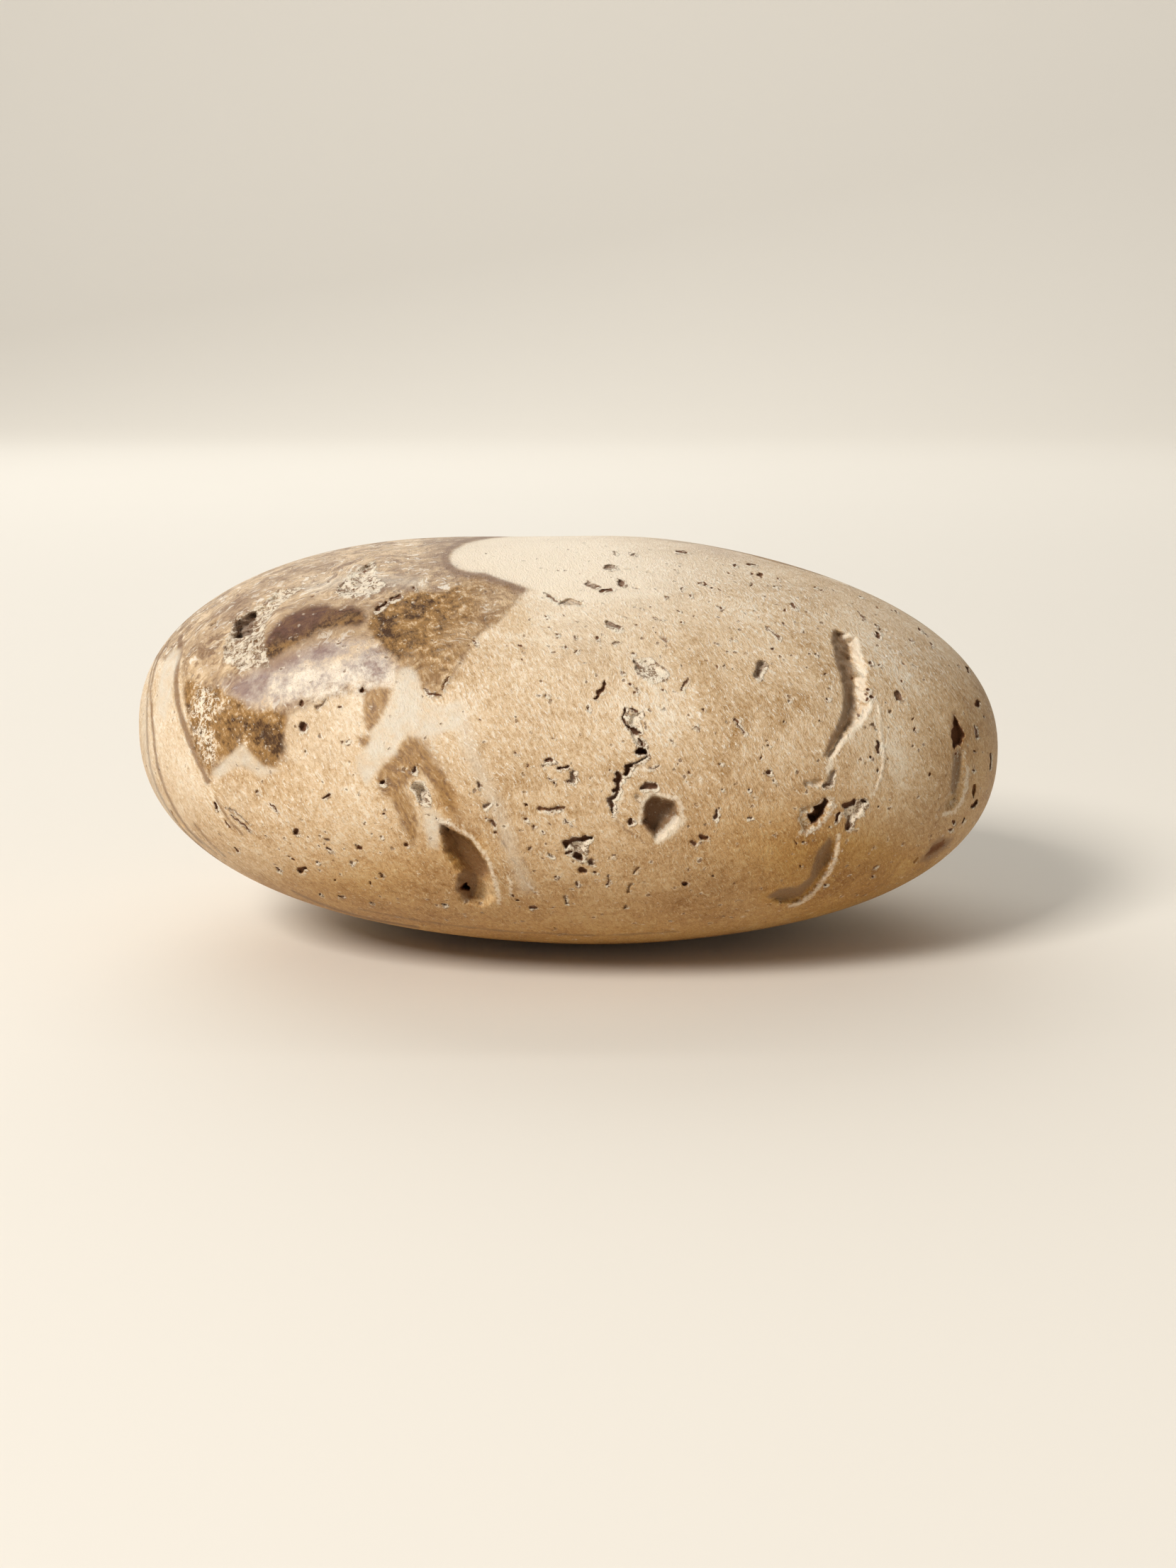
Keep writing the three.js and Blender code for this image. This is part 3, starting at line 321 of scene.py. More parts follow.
# Closed outlines of what the polish cuts through, in mm on a side's chart.
ZONES = {
    # brown and taupe layered ground, upper left
    "layered": [
        ("face", [(-33.4, 6.6), (-33.4, 4.8), (-32.9, 3), (-32.2, 1), (-31.3, -1.5), (-30.5, -3.8),
            (-28.5, -2.6), (-25.5, -3), (-23.4, -2.2), (-23, 1.3), (-21, 2.5), (-18.5, 3.2), (-16.5, 3.4),
            (-13.9, 5.2), (-12, 4.4), (-10.4, 3), (-9, 4.5), (-8.2, 6.4), (-7, 8.4), (-5.4, 9.8),
            (-3.6, 11.7), (-3.2, 12.3), (-5.3, 13.1), (-7, 13.9), (-8.8, 14.1), (-10, 15), (-10.2, 15.9),
            (-9.2, 17.2), (-7.2, 18.2), (-5, 19.2), (-7, 24), (-30, 24), (-44, 12), (-40, 7)]),
    ],
    # pale cap at the top
    "cap": [
        ("face", [(-4.6, 19.2), (-6, 18.4), (-7.5, 18), (-9, 17.3), (-10, 16.4), (-10.2, 15.5),
            (-9.9, 14.8), (-9.3, 14.3), (-8, 13.9), (-7, 13.9), (-5.5, 13.1), (-4, 12.8), (-2, 12),
            (2, 11), (8, 11.6), (14, 13), (20, 14.4), (26, 14.6), (30, 24), (-2, 24)]),
    ],
    # brown crystals
    "druzy": [
        ("face", [(-33.3, 4.8), (-33, 3), (-32.6, 1.5), (-32.2, 0), (-31.8, -1.5), (-31, -3), (-30.3, -4),
            (-30, -2.7), (-29.5, -2.2), (-28.2, -2), (-27.6, -1.2), (-27, -0.9), (-26.3, -1.9),
            (-25.5, -2.7), (-24.3, -2.9), (-23.5, -1.8), (-23.2, 0), (-23.1, 1.3), (-24, 1.8), (-26, 1.8),
            (-26.8, 2), (-27.2, 2.6), (-28.5, 3), (-29.5, 3.8), (-31, 4)]),
        ("face", [(-16.3, 10), (-14.5, 11.4), (-13, 12.1), (-11, 12), (-9.8, 12.2), (-9, 13.3),
            (-7, 13.2), (-5, 12.5), (-3.8, 11.6), (-5, 10), (-5.8, 9.1), (-7, 8.4), (-7.6, 7.3),
            (-8.2, 6.6), (-9, 5.8), (-9.1, 4.8), (-9.5, 3.5), (-10.6, 3), (-11.5, 3.5), (-12, 4.3),
            (-12.2, 5), (-13.3, 5.2), (-13.6, 5.8), (-14.5, 6.5), (-15, 7), (-15.8, 7.8), (-16.5, 8.8)]),
        ("back", [(22, 6), (24.5, 7.4), (28, 6.8), (30.4, 4.6), (31, 1.8), (29.4, -0.2), (27, 0.6),
            (25.6, 2.6), (23.2, 3.4)]),
        ("back", [(-8, -9.5), (-5.6, -8.8), (-4.2, -10.4), (-5.4, -12.4), (-8.2, -12)]),
        ("crown", [(-24, 5), (-21, 7.2), (-18.4, 6.4), (-19.4, 3.6), (-22.4, 2.8)]),
    ],
    # smoky lilac-grey calcite
    "smoke": [
        ("face", [(-29.4, 4.2), (-27, 5), (-25, 6.4), (-22, 7.4), (-19, 7.9), (-16.6, 8), (-14.6, 6.6),
            (-13.8, 5.4), (-14.2, 4.2), (-15.4, 3.6), (-17, 4.6), (-19.6, 3.6), (-22.6, 2.3),
            (-25.6, 2.1), (-27.2, 2.5), (-28.4, 3.2)]),
        ("back", [(13, 8.4), (17.4, 9.6), (21.4, 8), (22, 5.8), (18.4, 5.2), (14.4, 6.2)]),
    ],
    # frosty white band through the smoke
    "frost": [
        ("face", [(-24.6, 4.4), (-22, 5.4), (-19, 5.6), (-16.5, 6.2), (-14.2, 5.4), (-13.6, 4),
            (-16.5, 3.2), (-20, 3), (-23, 2.6), (-24.6, 3)]),
    ],
    # purple-brown lens
    "lens": [
        ("face", [(-25.4, 6), (-25.7, 7.2), (-25.4, 8.4), (-24.8, 9.3), (-24, 10), (-22.5, 10.8),
            (-20.5, 11.1), (-19.4, 10.6), (-18.2, 10.9), (-17.2, 10.5), (-16.8, 9.4), (-17.6, 8.9),
            (-19, 9), (-20.2, 8.8), (-21.5, 8.1), (-23, 7.3), (-24.4, 6.4)]),
        ("back", [(15, 11.6), (18, 12.6), (21, 11.8), (22.2, 10.4), (19.4, 10), (16.4, 10.2)]),
    ],
    # off-white flows
    "flow": [
        ("face", [(-13.6, 5.2), (-13, 5.5), (-12.5, 5.3), (-12, 4.7), (-11.8, 3.8), (-11.6, 3),
            (-11, 2.3), (-9.8, 2.1), (-8.6, 2.6), (-8.2, 1.5), (-8.5, 0.3), (-9.8, 0), (-10.5, -0.5),
            (-12, -0.4), (-12.8, -0.2), (-13.6, -1), (-13.6, -1.8), (-14.5, -2.2), (-15.2, -3),
            (-16.2, -4.5), (-17.1, -3), (-17, -2), (-16.5, -1.5), (-15.9, -0.6), (-15.9, 0.1), (-15, 0.9),
            (-14.5, 2), (-14.1, 3), (-13.9, 4)]),
        ("face", [(-35.2, 7.4), (-34.2, 7.4), (-34, 6.6), (-34.4, 5.4), (-34.4, 4), (-34.5, 2.4),
            (-35, 1), (-35.6, 1.4), (-36.2, 2.4), (-36.2, 4), (-36, 6)]),
        ("face", [(-30.3, -3.5), (-28.7, -2.2), (-27.9, -1.6), (-27.1, -1), (-26.3, -2), (-25.2, -2.9),
            (-23.6, -3.2), (-25.6, -3.8), (-26.8, -2.9), (-27.6, -2.8), (-28.6, -3.4), (-29.6, -4)]),
        ("face", [(-11.6, -6.2), (-10.9, -6.1), (-10.2, -6.9), (-9.2, -7.6), (-10.2, -8), (-10.4, -9.6),
            (-11, -9.5), (-11.4, -8.2)]),
        ("back", [(22.8, 3), (25.2, 2.2), (26.4, 0.2), (28.8, -0.8), (27, -2.4), (24.4, -1.6),
            (22.8, -3.4), (21.4, -1.6), (22.4, 0.6)]),
    ],
    # cream block beside the flows
    "block": [
        ("face", [(-23.1, 1.5), (-21, 2.5), (-19.6, 2.6), (-18, 3.1), (-16.7, 3.2), (-16.6, 1.6),
            (-16.5, 0), (-17.2, -0.4), (-17.1, -1.6), (-18.4, -2.6), (-20.6, -3), (-23.2, -2.4),
            (-23.1, -0.6)]),
        ("face", [(-34.4, 4), (-36.2, 4), (-36.3, 2), (-36.2, -1), (-36, -3), (-35.4, -5), (-34.4, -7),
            (-33.2, -8.4), (-32.4, -7.4), (-31.6, -5.4), (-31, -4.2), (-31.6, -3), (-32.6, -1),
            (-33.4, 0.6), (-34, 2.6)]),
    ],
    # painted shade in the hollows, under their rims and on their shaded floors, in a dark brown that is
    # partly their own colour
    "recess": [
        ("face", [(6.65, -5.8), (7.4, -5.2), (8.1, -5.45), (9, -5.65), (8.7, -6.2), (7.9, -6.9),
            (7.5, -7.7), (7.2, -8.4), (6.5, -7.5), (6.6, -6.3)]),
        ("face", [(-10.2, -7.5), (-9.3, -7.7), (-8, -8.6), (-7.1, -9.6), (-6.4, -10.8), (-6.2, -11.7),
            (-7, -12.3), (-7.9, -11.6), (-8.9, -10.5), (-9.8, -9.8), (-10.1, -8.6)]),
        ("face", [(33.9, 1.8), (34.5, 0.9), (35, 0), (34.6, -1), (33.9, -0.9), (33.6, 0.2)]),
        ("face", [(31.2, -11.4), (31.8, -10.4), (32.3, -9.6), (33.2, -9.2), (34.5, -9.4), (34, -10.3),
            (33, -10.9), (32.3, -11.4)]),
        ("face", [(-28.9, 9.8), (-27.4, 10.7), (-26.8, 10.3), (-27, 9.4), (-27.6, 8.1), (-28.9, 8.1)]),
    ],
    # greyer floors of the hollows, painted darker where their walls shade them
    "ash": [
        ("face", [(6.65, -5.8), (7.4, -5.2), (8.1, -5.45), (9.1, -5.65), (9.4, -6.2), (9.4, -7.2),
            (8.8, -7.7), (8.2, -8.3), (7.7, -8.8), (7.2, -8.4), (6.5, -7.5), (6.6, -6.3)]),
        ("face", [(-8.3, -11.4), (-7.4, -11.9), (-7.3, -13.2), (-7.9, -14.2), (-8.6, -14.3),
            (-9.1, -13.2), (-8.8, -11.9)]),
        ("face", [(22.3, -8.9), (22.8, -9.2), (22.6, -10.8), (21.9, -12), (21.3, -12.9), (20.4, -14.2),
            (18.6, -14.5), (17.3, -14), (18.4, -13.2), (19.9, -13.1), (20.9, -12.4), (21.2, -10.6),
            (21.5, -9.8)]),
        ("face", [(23.2, 8.9), (24.2, 8.6), (24.6, 7.4), (24.7, 5.4), (24.6, 4), (24.8, 2.6), (24.5, 1.2),
            (23.9, 0.3), (22.9, -0.5), (22.3, -1.6), (21.7, -2), (22.1, -0.7), (22.8, 0.4), (23.3, 1.6),
            (23.6, 3.2), (23.5, 4.4), (23.1, 5.8), (22.9, 8)]),
        ("face", [(33.8, -1.8), (34.7, -1.4), (34.7, -3.6), (34.2, -5.6), (33.6, -4.8)]),
    ],
    # brown streaked ground
    "streaked": [
        ("face", [(-13.5, -1.1), (-12.8, -0.3), (-12, -0.5), (-11.2, -1.3), (-10.6, -2.4), (-9.8, -3.4),
            (-9.2, -4.6), (-8.8, -5.8), (-8.8, -6.6), (-9.5, -6.4), (-10.2, -5.5), (-10.8, -4.2),
            (-11.6, -3.4), (-12.8, -3.8), (-13, -4.8), (-12.4, -5.8), (-12, -7.2), (-12, -8.6),
            (-12.5, -9.4), (-13.2, -7.8), (-14, -6), (-15, -5), (-15.4, -4), (-15, -3), (-14.2, -2.1)]),
        ("face", [(-16.45, 3.3), (-16.5, 2), (-16.4, 1), (-16.2, 0.2), (-16, 0), (-15.2, 0.8),
            (-14.8, 1.5), (-14.5, 2.5), (-14.2, 3.5), (-15.2, 3.8)]),
        ("face", [(-17, -0.2), (-15.8, -0.3), (-15.8, -1.3), (-16.9, -1.2)]),
        ("back", [(2, 7), (5, 4.4), (6.8, 0.4), (5.8, -2), (3.8, 0.8), (1.8, 4)]),
        ("crown", [(16, 3), (22, 5.2), (26, 3), (23.4, 0.8), (18.6, 0.2)]),
    ],
}

# Lines of an even half width: the side, the half width and the path.
LINES = {
    # thin brown lines between the layers
    "brown_line": [
        ("face", 0.16, [(-36.3, 8), (-37, 7), (-37.2, 4), (-36.9, 2.6), (-36.5, 0), (-36.4, -1),
            (-36.1, -3), (-35.5, -5), (-34.6, -7), (-33.6, -8.6), (-32.4, -9.8)]),
        ("face", 0.28, [(-34.6, 8.6), (-34.1, 7), (-34.2, 5.2), (-33.9, 3.5), (-33.5, 2), (-33, 0.8),
            (-32.3, -0.8), (-31.7, -2), (-31.1, -3.2), (-30.6, -4.2)]),
        ("face", 0.12, [(-37, 8.6), (-37.6, 6), (-37.5, 3), (-37.4, 0), (-37.2, -3), (-36.6, -5),
            (-35.9, -6.5), (-35, -8), (-34, -9.2), (-32.6, -10.6), (-30.8, -12)]),
        ("face", 0.09, [(-35.7, -4.6), (-35, -6.2), (-34.3, -7.4), (-33.4, -8.7), (-32.4, -9.6),
            (-31, -10.8)]),
        ("face", 0.07, [(-29.9, -5.6), (-29.3, -6.8), (-28.6, -7.8), (-27.6, -8.8)]),
        ("face", 0.08, [(-28.9, -6.4), (-28.2, -7.2), (-27.4, -8), (-26.8, -8.6)]),
        ("face", 0.07, [(-32.6, -8), (-31.4, -9.6), (-30, -11)]),
        ("face", 0.3, [(-5.2, 19), (-6.4, 18.7), (-8, 18.3), (-9.5, 17.6), (-10.5, 16.6), (-10.7, 15.5),
            (-10.3, 14.6), (-9.4, 14), (-8, 13.6), (-6.8, 13.5), (-5.2, 12.8), (-3.6, 12.2)]),
        ("face", 0.13, [(-24, -13.9), (-22, -15), (-20, -15.8), (-17, -16.6), (-13, -17.2)]),
        ("face", 0.06, [(4.3, -7.1), (5.1, -8), (6.2, -8.7), (6.8, -9.2)]),
        ("face", 0.06, [(-18, -15.4), (-12, -16.5), (-5, -17.3), (3, -17.7), (10, -17.3)]),
        ("face", 0.05, [(-5, -9), (-3.8, -11.2), (-2.4, -13.6)]),
        ("face", 0.05, [(-3.6, -10), (-2.6, -12.2), (-1.6, -13.8)]),
    ],
    # broad soft brown lines
    "brown_wash": [
        ("face", 0.9, [(-4.9, 21), (-7, 19.6), (-9.4, 18.6), (-11, 17.2), (-11.4, 15.6)]),
        ("face", 0.45, [(-11.2, 15.4), (-10.6, 14.4), (-9.2, 13.7), (-7, 13.2), (-5, 12.4)]),
        ("face", 0.5, [(-33, 7.6), (-30.8, 9), (-29.4, 11), (-27, 13), (-24, 14.4), (-21, 15.6)]),
        ("face", 0.4, [(-30, 4.9), (-31.6, 6.6), (-32.4, 8.6)]),
        ("face", 0.5, [(-15.5, 12.8), (-13, 13.6), (-11.6, 15)]),
        ("face", 0.35, [(-11.6, -0.6), (-10.8, -2.2), (-10, -4), (-9.2, -5.6), (-8.6, -7.2),
            (-7.4, -8.5)]),
    ],
    # broad soft pale lines
    "pale_wash": [
        ("face", 0.5, [(-8.6, 2), (-8, 0), (-7.4, -2), (-6.4, -4), (-5.4, -6.4), (-4.6, -8.6),
            (-3.8, -11), (-3.2, -13)]),
        ("face", 0.4, [(-22, 12.6), (-19, 13.4), (-15, 13.2), (-12.4, 12.9)]),
        ("face", 0.4, [(-37.9, 3), (-37.8, -1), (-37, -5), (-35.4, -8)]),
    ],
    # thin pale lines, and painted highlights on the walls of hollows that face the light: the socket's
    # lower right wall, the right walls of the long and the curved groove, and of the trough
    "pale_line": [
        ("face", 0.14, [(-10.2, -7.25), (-9.4, -7.45), (-8.6, -8), (-7.5, -8.7), (-6.9, -9.5),
            (-6.1, -10.8), (-5.8, -12.2), (-5.5, -13.6), (-5.45, -14.4)]),
        ("face", 0.17, [(23.2, -8.7), (23.15, -9.9), (22.95, -11), (22.5, -12), (21.9, -13.1),
            (21.2, -14.1), (20.3, -14.8), (19.5, -15)]),
        ("face", 0.4, [(24.5, 8.3), (25.3, 7.6), (25.2, 6.8), (25.5, 5.2), (25.2, 3.8), (25.4, 2.9)]),
        ("face", 0.28, [(26.2, 2.9), (25.8, 1.9), (25, 0.9), (24.2, -0.1), (23.3, -0.8), (22.4, -1.9),
            (22.1, -3.2)]),
        ("face", 0.12, [(22.1, -3.2), (22.4, -4.1), (21.7, -4.6), (20.4, -4.3)]),
        ("face", 0.16, [(26.6, 2.3), (26.8, 0.5), (26.95, -1), (27, -2.5), (26.8, -3.6), (26.4, -4.8),
            (26, -5.3)]),
        ("face", 0.16, [(35.4, -3), (35.35, -4.8), (35, -6), (34.2, -6.95), (33.1, -7.1)]),
        ("face", 0.1, [(-30.5, -4.6), (-30.2, -5.6), (-29.8, -6.7), (-29.4, -7.2)]),
        ("face", 0.09, [(-24.8, -5.9), (-24.4, -6.5), (-24, -6.7)]),
        ("face", 0.09, [(-24.9, -6.9), (-24.3, -7.2), (-23.7, -7.6)]),
        ("face", 0.16, [(4.95, -4.9), (4.5, -5.8), (4.2, -7)]),
        ("face", 0.16, [(6, -2.9), (5.5, -3.6), (5, -4.1)]),
        ("face", 0.1, [(6.2, -2.9), (7, -3.1), (7.5, -2.8), (7.7, -2.6)]),
        ("face", 0.12, [(-2, -6.5), (-1.2, -6.6), (-0.4, -6.5), (0, -6.4), (0, -7)]),
        ("face", 0.45, [(9.35, -7.3), (9, -7.9), (8.4, -8.4), (7.85, -8.8)]),
        ("face", 0.18, [(6.3, -7.4), (6.4, -6.2), (6.6, -5.55), (7.35, -4.95), (8.2, -5.2), (9.3, -5.4),
            (9.75, -6.2), (9.85, -7.5)]),
        ("face", 0.12, [(22.7, -6), (22.1, -7.1), (21.4, -7.9), (20.4, -8.4), (19.8, -8.4)]),
        ("face", 0.12, [(-4.6, -11.8), (-4.4, -12.6), (-4.4, -13.6)]),
        ("face", 0.1, [(-3, -12.6), (-2.3, -13.4), (-1.8, -14)]),
    ],
}

# Soft tints of the face: (right, up, reach right, reach up, turn in degrees, strength).
TINTS = {
    # creamy, lighter ground, and painted highlights on the lit lower right walls of the socket and of the
    # drop-shaped cavity
    "light_tint": [
        (-1, 15, 9, 3.5, -10, 0.9), (6, 11, 8, 3.5, -15, 0.45), (-18, 0.8, 3, 2, 20, 0.15),
        (-9, 1, 2.4, 2.6, 0, 0.25), (-1, 8.6, 6, 3, -15, 0.5), (-28, -5.6, 2.5, 1.6, -30, 0.4),
        (24, 2, 3, 5, 10, 0.25), (12, 15, 12, 3, -14, 0.35), (-6.2, -13.6, 1, 1.4, 0, 0.8),
        (9.2, -7.9, 1.1, 0.7, 45, 0.8), (-36.8, -3, 1.2, 8, 8, 0.3), (2, 4, 6, 3, 0, 0.2),
        (7.4, 5.2, 1.8, 1.2, -30, 0.5), (34.4, -4.2, 0.9, 2.6, 5, 0.4)],
    # golden patches, and a painted shade with a warm painted reflection low on the stone, at the lower
    # right and at the right end
    "gold_tint": [
        (0, -19.5, 60, 9, 0, 1), (27, -12, 12, 6, -25, 0.7), (38, -3, 6, 9, 0, 0.75),
        (16, -9, 9, 4, -10, 0.3), (-16, -12, 12, 3, 15, 0.3), (-9.4, -5.6, 0.9, 1.6, 30, 0.8),
        (-4, 9.6, 1.4, 2.4, 30, 0.35), (-36, -7, 3, 4, 40, 0.3), (-8.6, -10, 1, 2.4, 25, 0.8),
        (-7.8, -9.4, 1, 1.4, 40, 0.9), (21, -12.6, 1.6, 0.8, 30, 0.4), (18, -13.9, 1, 0.6, 0, 0.5)],
    # paler crystals
    "fair_tint": [
        (-31.2, 2, 1.4, 2.8, -12, 1), (-30.4, -1.6, 0.9, 1.6, 0, 1), (-29, 2.2, 1.4, 0.8, 0, 0.5),
        (-27.6, -0.6, 1, 0.8, 0, 0.4), (-8.6, 12.4, 3, 0.6, 0, 0.3)],
    # crystals that fade into the ground
    "faded_tint": [
        (-5, 11.4, 2.6, 1.8, -20, 0.7), (-7.4, 8, 1.6, 1.8, 0, 0.35), (-10.4, 4, 1.8, 1.5, 0, 0.6),
        (-12.6, 5.8, 1.2, 0.8, 0, 0.5), (-8.8, 13, 1.6, 0.5, 0, 0.5), (-9.2, 7.6, 1.5, 1.3, 0, 0.4),
        (-6.4, 10.2, 1.3, 1.5, 0, 0.35)],
    # amber edge of the lens
    "amber_tint": [
        (-25, 6.8, 1, 0.8, 40, 1), (-23.6, 7.4, 1.4, 0.5, 20, 1), (-21, 8.6, 1.6, 0.5, 20, 0.9),
        (-18.8, 9.5, 0.9, 0.9, 0, 0.9), (-17.4, 9.7, 0.8, 0.7, 0, 0.8), (-20.2, 9.7, 0.4, 0.8, -20, 0.6)],
    # ground with many bright scuffs
    "scuffed_tint": [
        (28, 6.4, 3, 2.4, -30, 1), (20, 9.4, 4.5, 2.6, -10, 0.7), (14, 13.4, 7, 2.4, -14, 0.7),
        (33, 6, 2.4, 2, -40, 0.8), (-4, 10, 2.4, 2.4, 0, 0.4), (8, 2, 2, 4, 0, 0.3),
        (-9, 3.4, 1.6, 2.2, 0, 0.5), (-4, -12, 2, 2.6, 20, 0.6), (-24, -7, 3, 1.6, -20, 0.5),
        (22, -9, 2.6, 2.4, 0, 0.4), (36, 0, 1.8, 5, 0, 0.5)],
    # violet clouds in the smoky calcite
    "violet_tint": [
        (-23.7, 6.1, 1.7, 0.7, 15, 1), (-20.2, 7, 1.5, 0.6, 5, 0.9), (-27.4, 3.7, 1.7, 1, -20, 1),
        (-16, 5.6, 1.3, 1, 0, 0.5), (-25.4, 4.6, 1, 0.7, 0, 0.5), (-18.4, 4, 0.7, 0.5, 0, 0.3)],
    # darker crystals, and the dark lower edge of the lens
    "deep_tint": [
        (-24.4, 8, 0.6, 0.5, 20, 0.9), (-22.8, 7.4, 0.9, 0.4, 15, 0.9), (-20.2, 8.8, 0.8, 0.5, 20, 1),
        (-18, 9.8, 1, 0.6, -10, 1), (-21.5, 9.4, 1.2, 0.6, 10, 0.3), (-25, -0.4, 1.4, 1.2, 0, 0.9),
        (-23.8, -1.3, 0.8, 1, 0, 0.8), (-15, 8.4, 1.2, 1.4, 20, 1), (-12.4, 10.4, 1.6, 0.9, 20, 0.9),
        (-26.8, 0.6, 1, 0.6, 0, 0.5), (-15.6, 9.6, 0.8, 0.6, 0, 0.6), (-14.4, 6.4, 0.8, 0.6, 0, 0.9),
        (-12.2, 7.4, 1, 0.9, 0, 0.4), (-28.4, 0.6, 1.2, 0.9, 0, 0.4)],
    # cooler, greyer ground
    "grey_tint": [
        (-8, -12, 1.1, 1.6, 20, 0.3), (8, -6.6, 1.1, 1, 0, 0.6), (14, 17, 6, 1.4, -12, 0.5),
        (-34, 12, 6, 4, 50, 0.3), (30, 8, 6, 3, -40, 0.2), (24.4, 5.6, 0.9, 2.6, 0, 0.25)],
}


# ------------------------------------------------------------------ settings


def number(name, description, default, **kind):
    """A number that a user may change."""
    return bpy.props.FloatProperty(name=name, description=description, default=default, **kind)


def extent(name, description, default):
    """A length that a user may change; the default is in mm."""
    return number(name, description, default * MM, unit="LENGTH")


def light_power(name, description, default):
    """The power of a light that a user may change, in watts."""
    return number(name, description, default, unit="POWER")


def colour(name, description, default):
    """A colour that a user may change."""
    return bpy.props.FloatVectorProperty(
        name=name, description=description, default=default, size=3, subtype="COLOR",
        min=0, max=1)


class StoneShape(bpy.types.PropertyGroup):
    """Sizes of the polished ovoid."""

    length: extent("Length", "End to end", 79.8)
    depth: extent("Depth", "From the face to the back", 58)
    height: extent("Height", "From the rest to the crown", 36.8)
    outline_power: number("Outline power", "How square the outline is; 2 is an ellipse", 2.25)
    girth_power: number("Girth power", "How square the girth is; 2 is an ellipse", 2.15)
    lean: number("Lean", "How far the long axis dips", math.radians(-1.9), subtype="ANGLE")
    foot_trim: extent("Foot trim", "Height of the flat on the underside", 0.25)


class StoneSurface(bpy.types.PropertyGroup):
    """How fine the surface is, and its scattered pores."""

    face_edge: extent("Face edge", "Longest edge on the plain face", 1.15)
    back_edge: extent("Back edge", "Longest edge on the other sides", 1.7)
    rim_share: number(
        "Rim share", "Longest edge at a rim, as a share of the wall's width", 0.55)
    finest_edge: extent("Finest edge", "Longest edge at the rims of the smallest pits", 0.14)
    zone_edge: extent("Marking edge", "Longest edge at the borders of markings", 0.5)
    growth: number("Edge growth", "How fast edges grow away from rims and borders", 1.1)
    pore_spacing: extent("Pore spacing", "Least distance between scattered pores", 1.9)
    pore_density: number("Pore density", "Scattered pores for each square centimetre", 7.0)
    pore_seed: bpy.props.IntProperty(
        name="Pore seed", description="Changes where the scattered pores fall", default=7)


class StoneColours(bpy.types.PropertyGroup):
    """Colours of the calcite and its markings."""

    body: colour("Body", "Plain ground", (0.53, 0.36, 0.20))
    body_light: colour("Light body", "Paler clouds of the ground", (0.67, 0.49, 0.305))
    cream: colour("Cream", "Cream layers and the cap", (0.80, 0.68, 0.52))
    gold: colour("Gold", "Golden ground low on the stone", (0.34, 0.18, 0.055))
    taupe: colour("Taupe", "Layered ground", (0.37, 0.24, 0.13))
    umber: colour("Umber", "Dark layers", (0.19, 0.095, 0.040))
    crystal_dark: colour("Dark crystal", "Dark of the brown crystals", (0.045, 0.015, 0.003))
    crystal: colour("Crystal", "Brown crystals", (0.22, 0.113, 0.036))
    lens: colour("Lens", "Purple-brown lens", (0.105, 0.044, 0.031))
    violet: colour("Violet", "Dark of the smoky calcite", (0.25, 0.165, 0.15))
    smoke: colour("Smoke", "Lilac-grey calcite", (0.46, 0.37, 0.31))
    # the colour of painted shade on the floors of hollows
    ash: colour("Ash", "Greyer linings of the hollows", (0.19, 0.105, 0.05))
    flow: colour("Flow", "Off-white flows", (0.68, 0.61, 0.50))
    frost: colour("Frost", "White veils and bright scuffs", (0.86, 0.78, 0.66))
    # the chalk tone also paints highlights: on lit walls, on the lower right of crusts, and as glints in
    # the crystals
    chalk: colour("Chalk", "Crust in the hollows", (0.87, 0.76, 0.60))
    # the colour of painted shade in the deepest pits and hollows
    pit: colour("Pit floor", "Dirt in the deep pits", (0.15, 0.05, 0.015))


class StageSettings(bpy.types.PropertyGroup):
    """Floor, lights and camera."""

    floor: colour("Floor", "Pale floor and backdrop", (0.78, 0.72, 0.63))
    key: light_power("Key light", "Large window from the upper left", 9.8)
    fill: light_power("Fill light", "Soft light from the front right", 0.3)
    rim: light_power("Back light", "Soft light from behind and above", 3.1)
    backdrop: light_power("Backdrop light", "Wash of light on the backdrop", 9.0)
    sky: number("Sky", "Even light from all round", 0.27)
    focal_length: number(
        "Lens", "Focal length of the camera", 52, subtype="DISTANCE_CAMERA")


# ------------------------------------------------------------------ node trees


class Tree:
    """Adds nodes to a node tree and links them."""

    def __init__(self, tree):
        self.tree = tree

    def node(self, kind, inputs=None, **settings):
        """A new node with these settings; inputs are values or sockets by name or number."""
        made = self.tree.nodes.new(kind)
        for name, value in settings.items():
            setattr(made, name, value)
        for name, value in (inputs or {}).items():
            self.feed(made.inputs[name], value)
        return made

    def feed(self, socket, value):
        """Links a socket, or sets its value."""
        if isinstance(value, bpy.types.NodeSocket):
            self.tree.links.new(value, socket)
        elif isinstance(value, (tuple, list)) and len(value) == 3 and socket.type == "RGBA":
            socket.default_value = (*value, 1)
        else:
            socket.default_value = value

    def math(self, operation, *values, clamp=False):
        """A number worked out by a Math node."""
        made = self.node("ShaderNodeMath", operation=operation, use_clamp=clamp)
        for socket, value in zip(made.inputs, values):
            self.feed(socket, value)
        return made.outputs[0]

    def scaled(self, vector, factor):
        """A vector times a number."""
        return self.node(
            "ShaderNodeVectorMath", {0: vector, 3: factor}, operation="SCALE").outputs[0]

    def times(self, *values):
        """The product of values."""
        total = values[0]
        for value in values[1:]:
            total = self.math("MULTIPLY", total, value)
        return total

    def plus(self, *values):
        """The sum of values; a pair is a value and its weight."""
        terms = [self.times(*each) if isinstance(each, tuple) else each for each in values]
        total = terms[0]
        for term in terms[1:]:
            total = self.math("ADD", total, term)
        return total


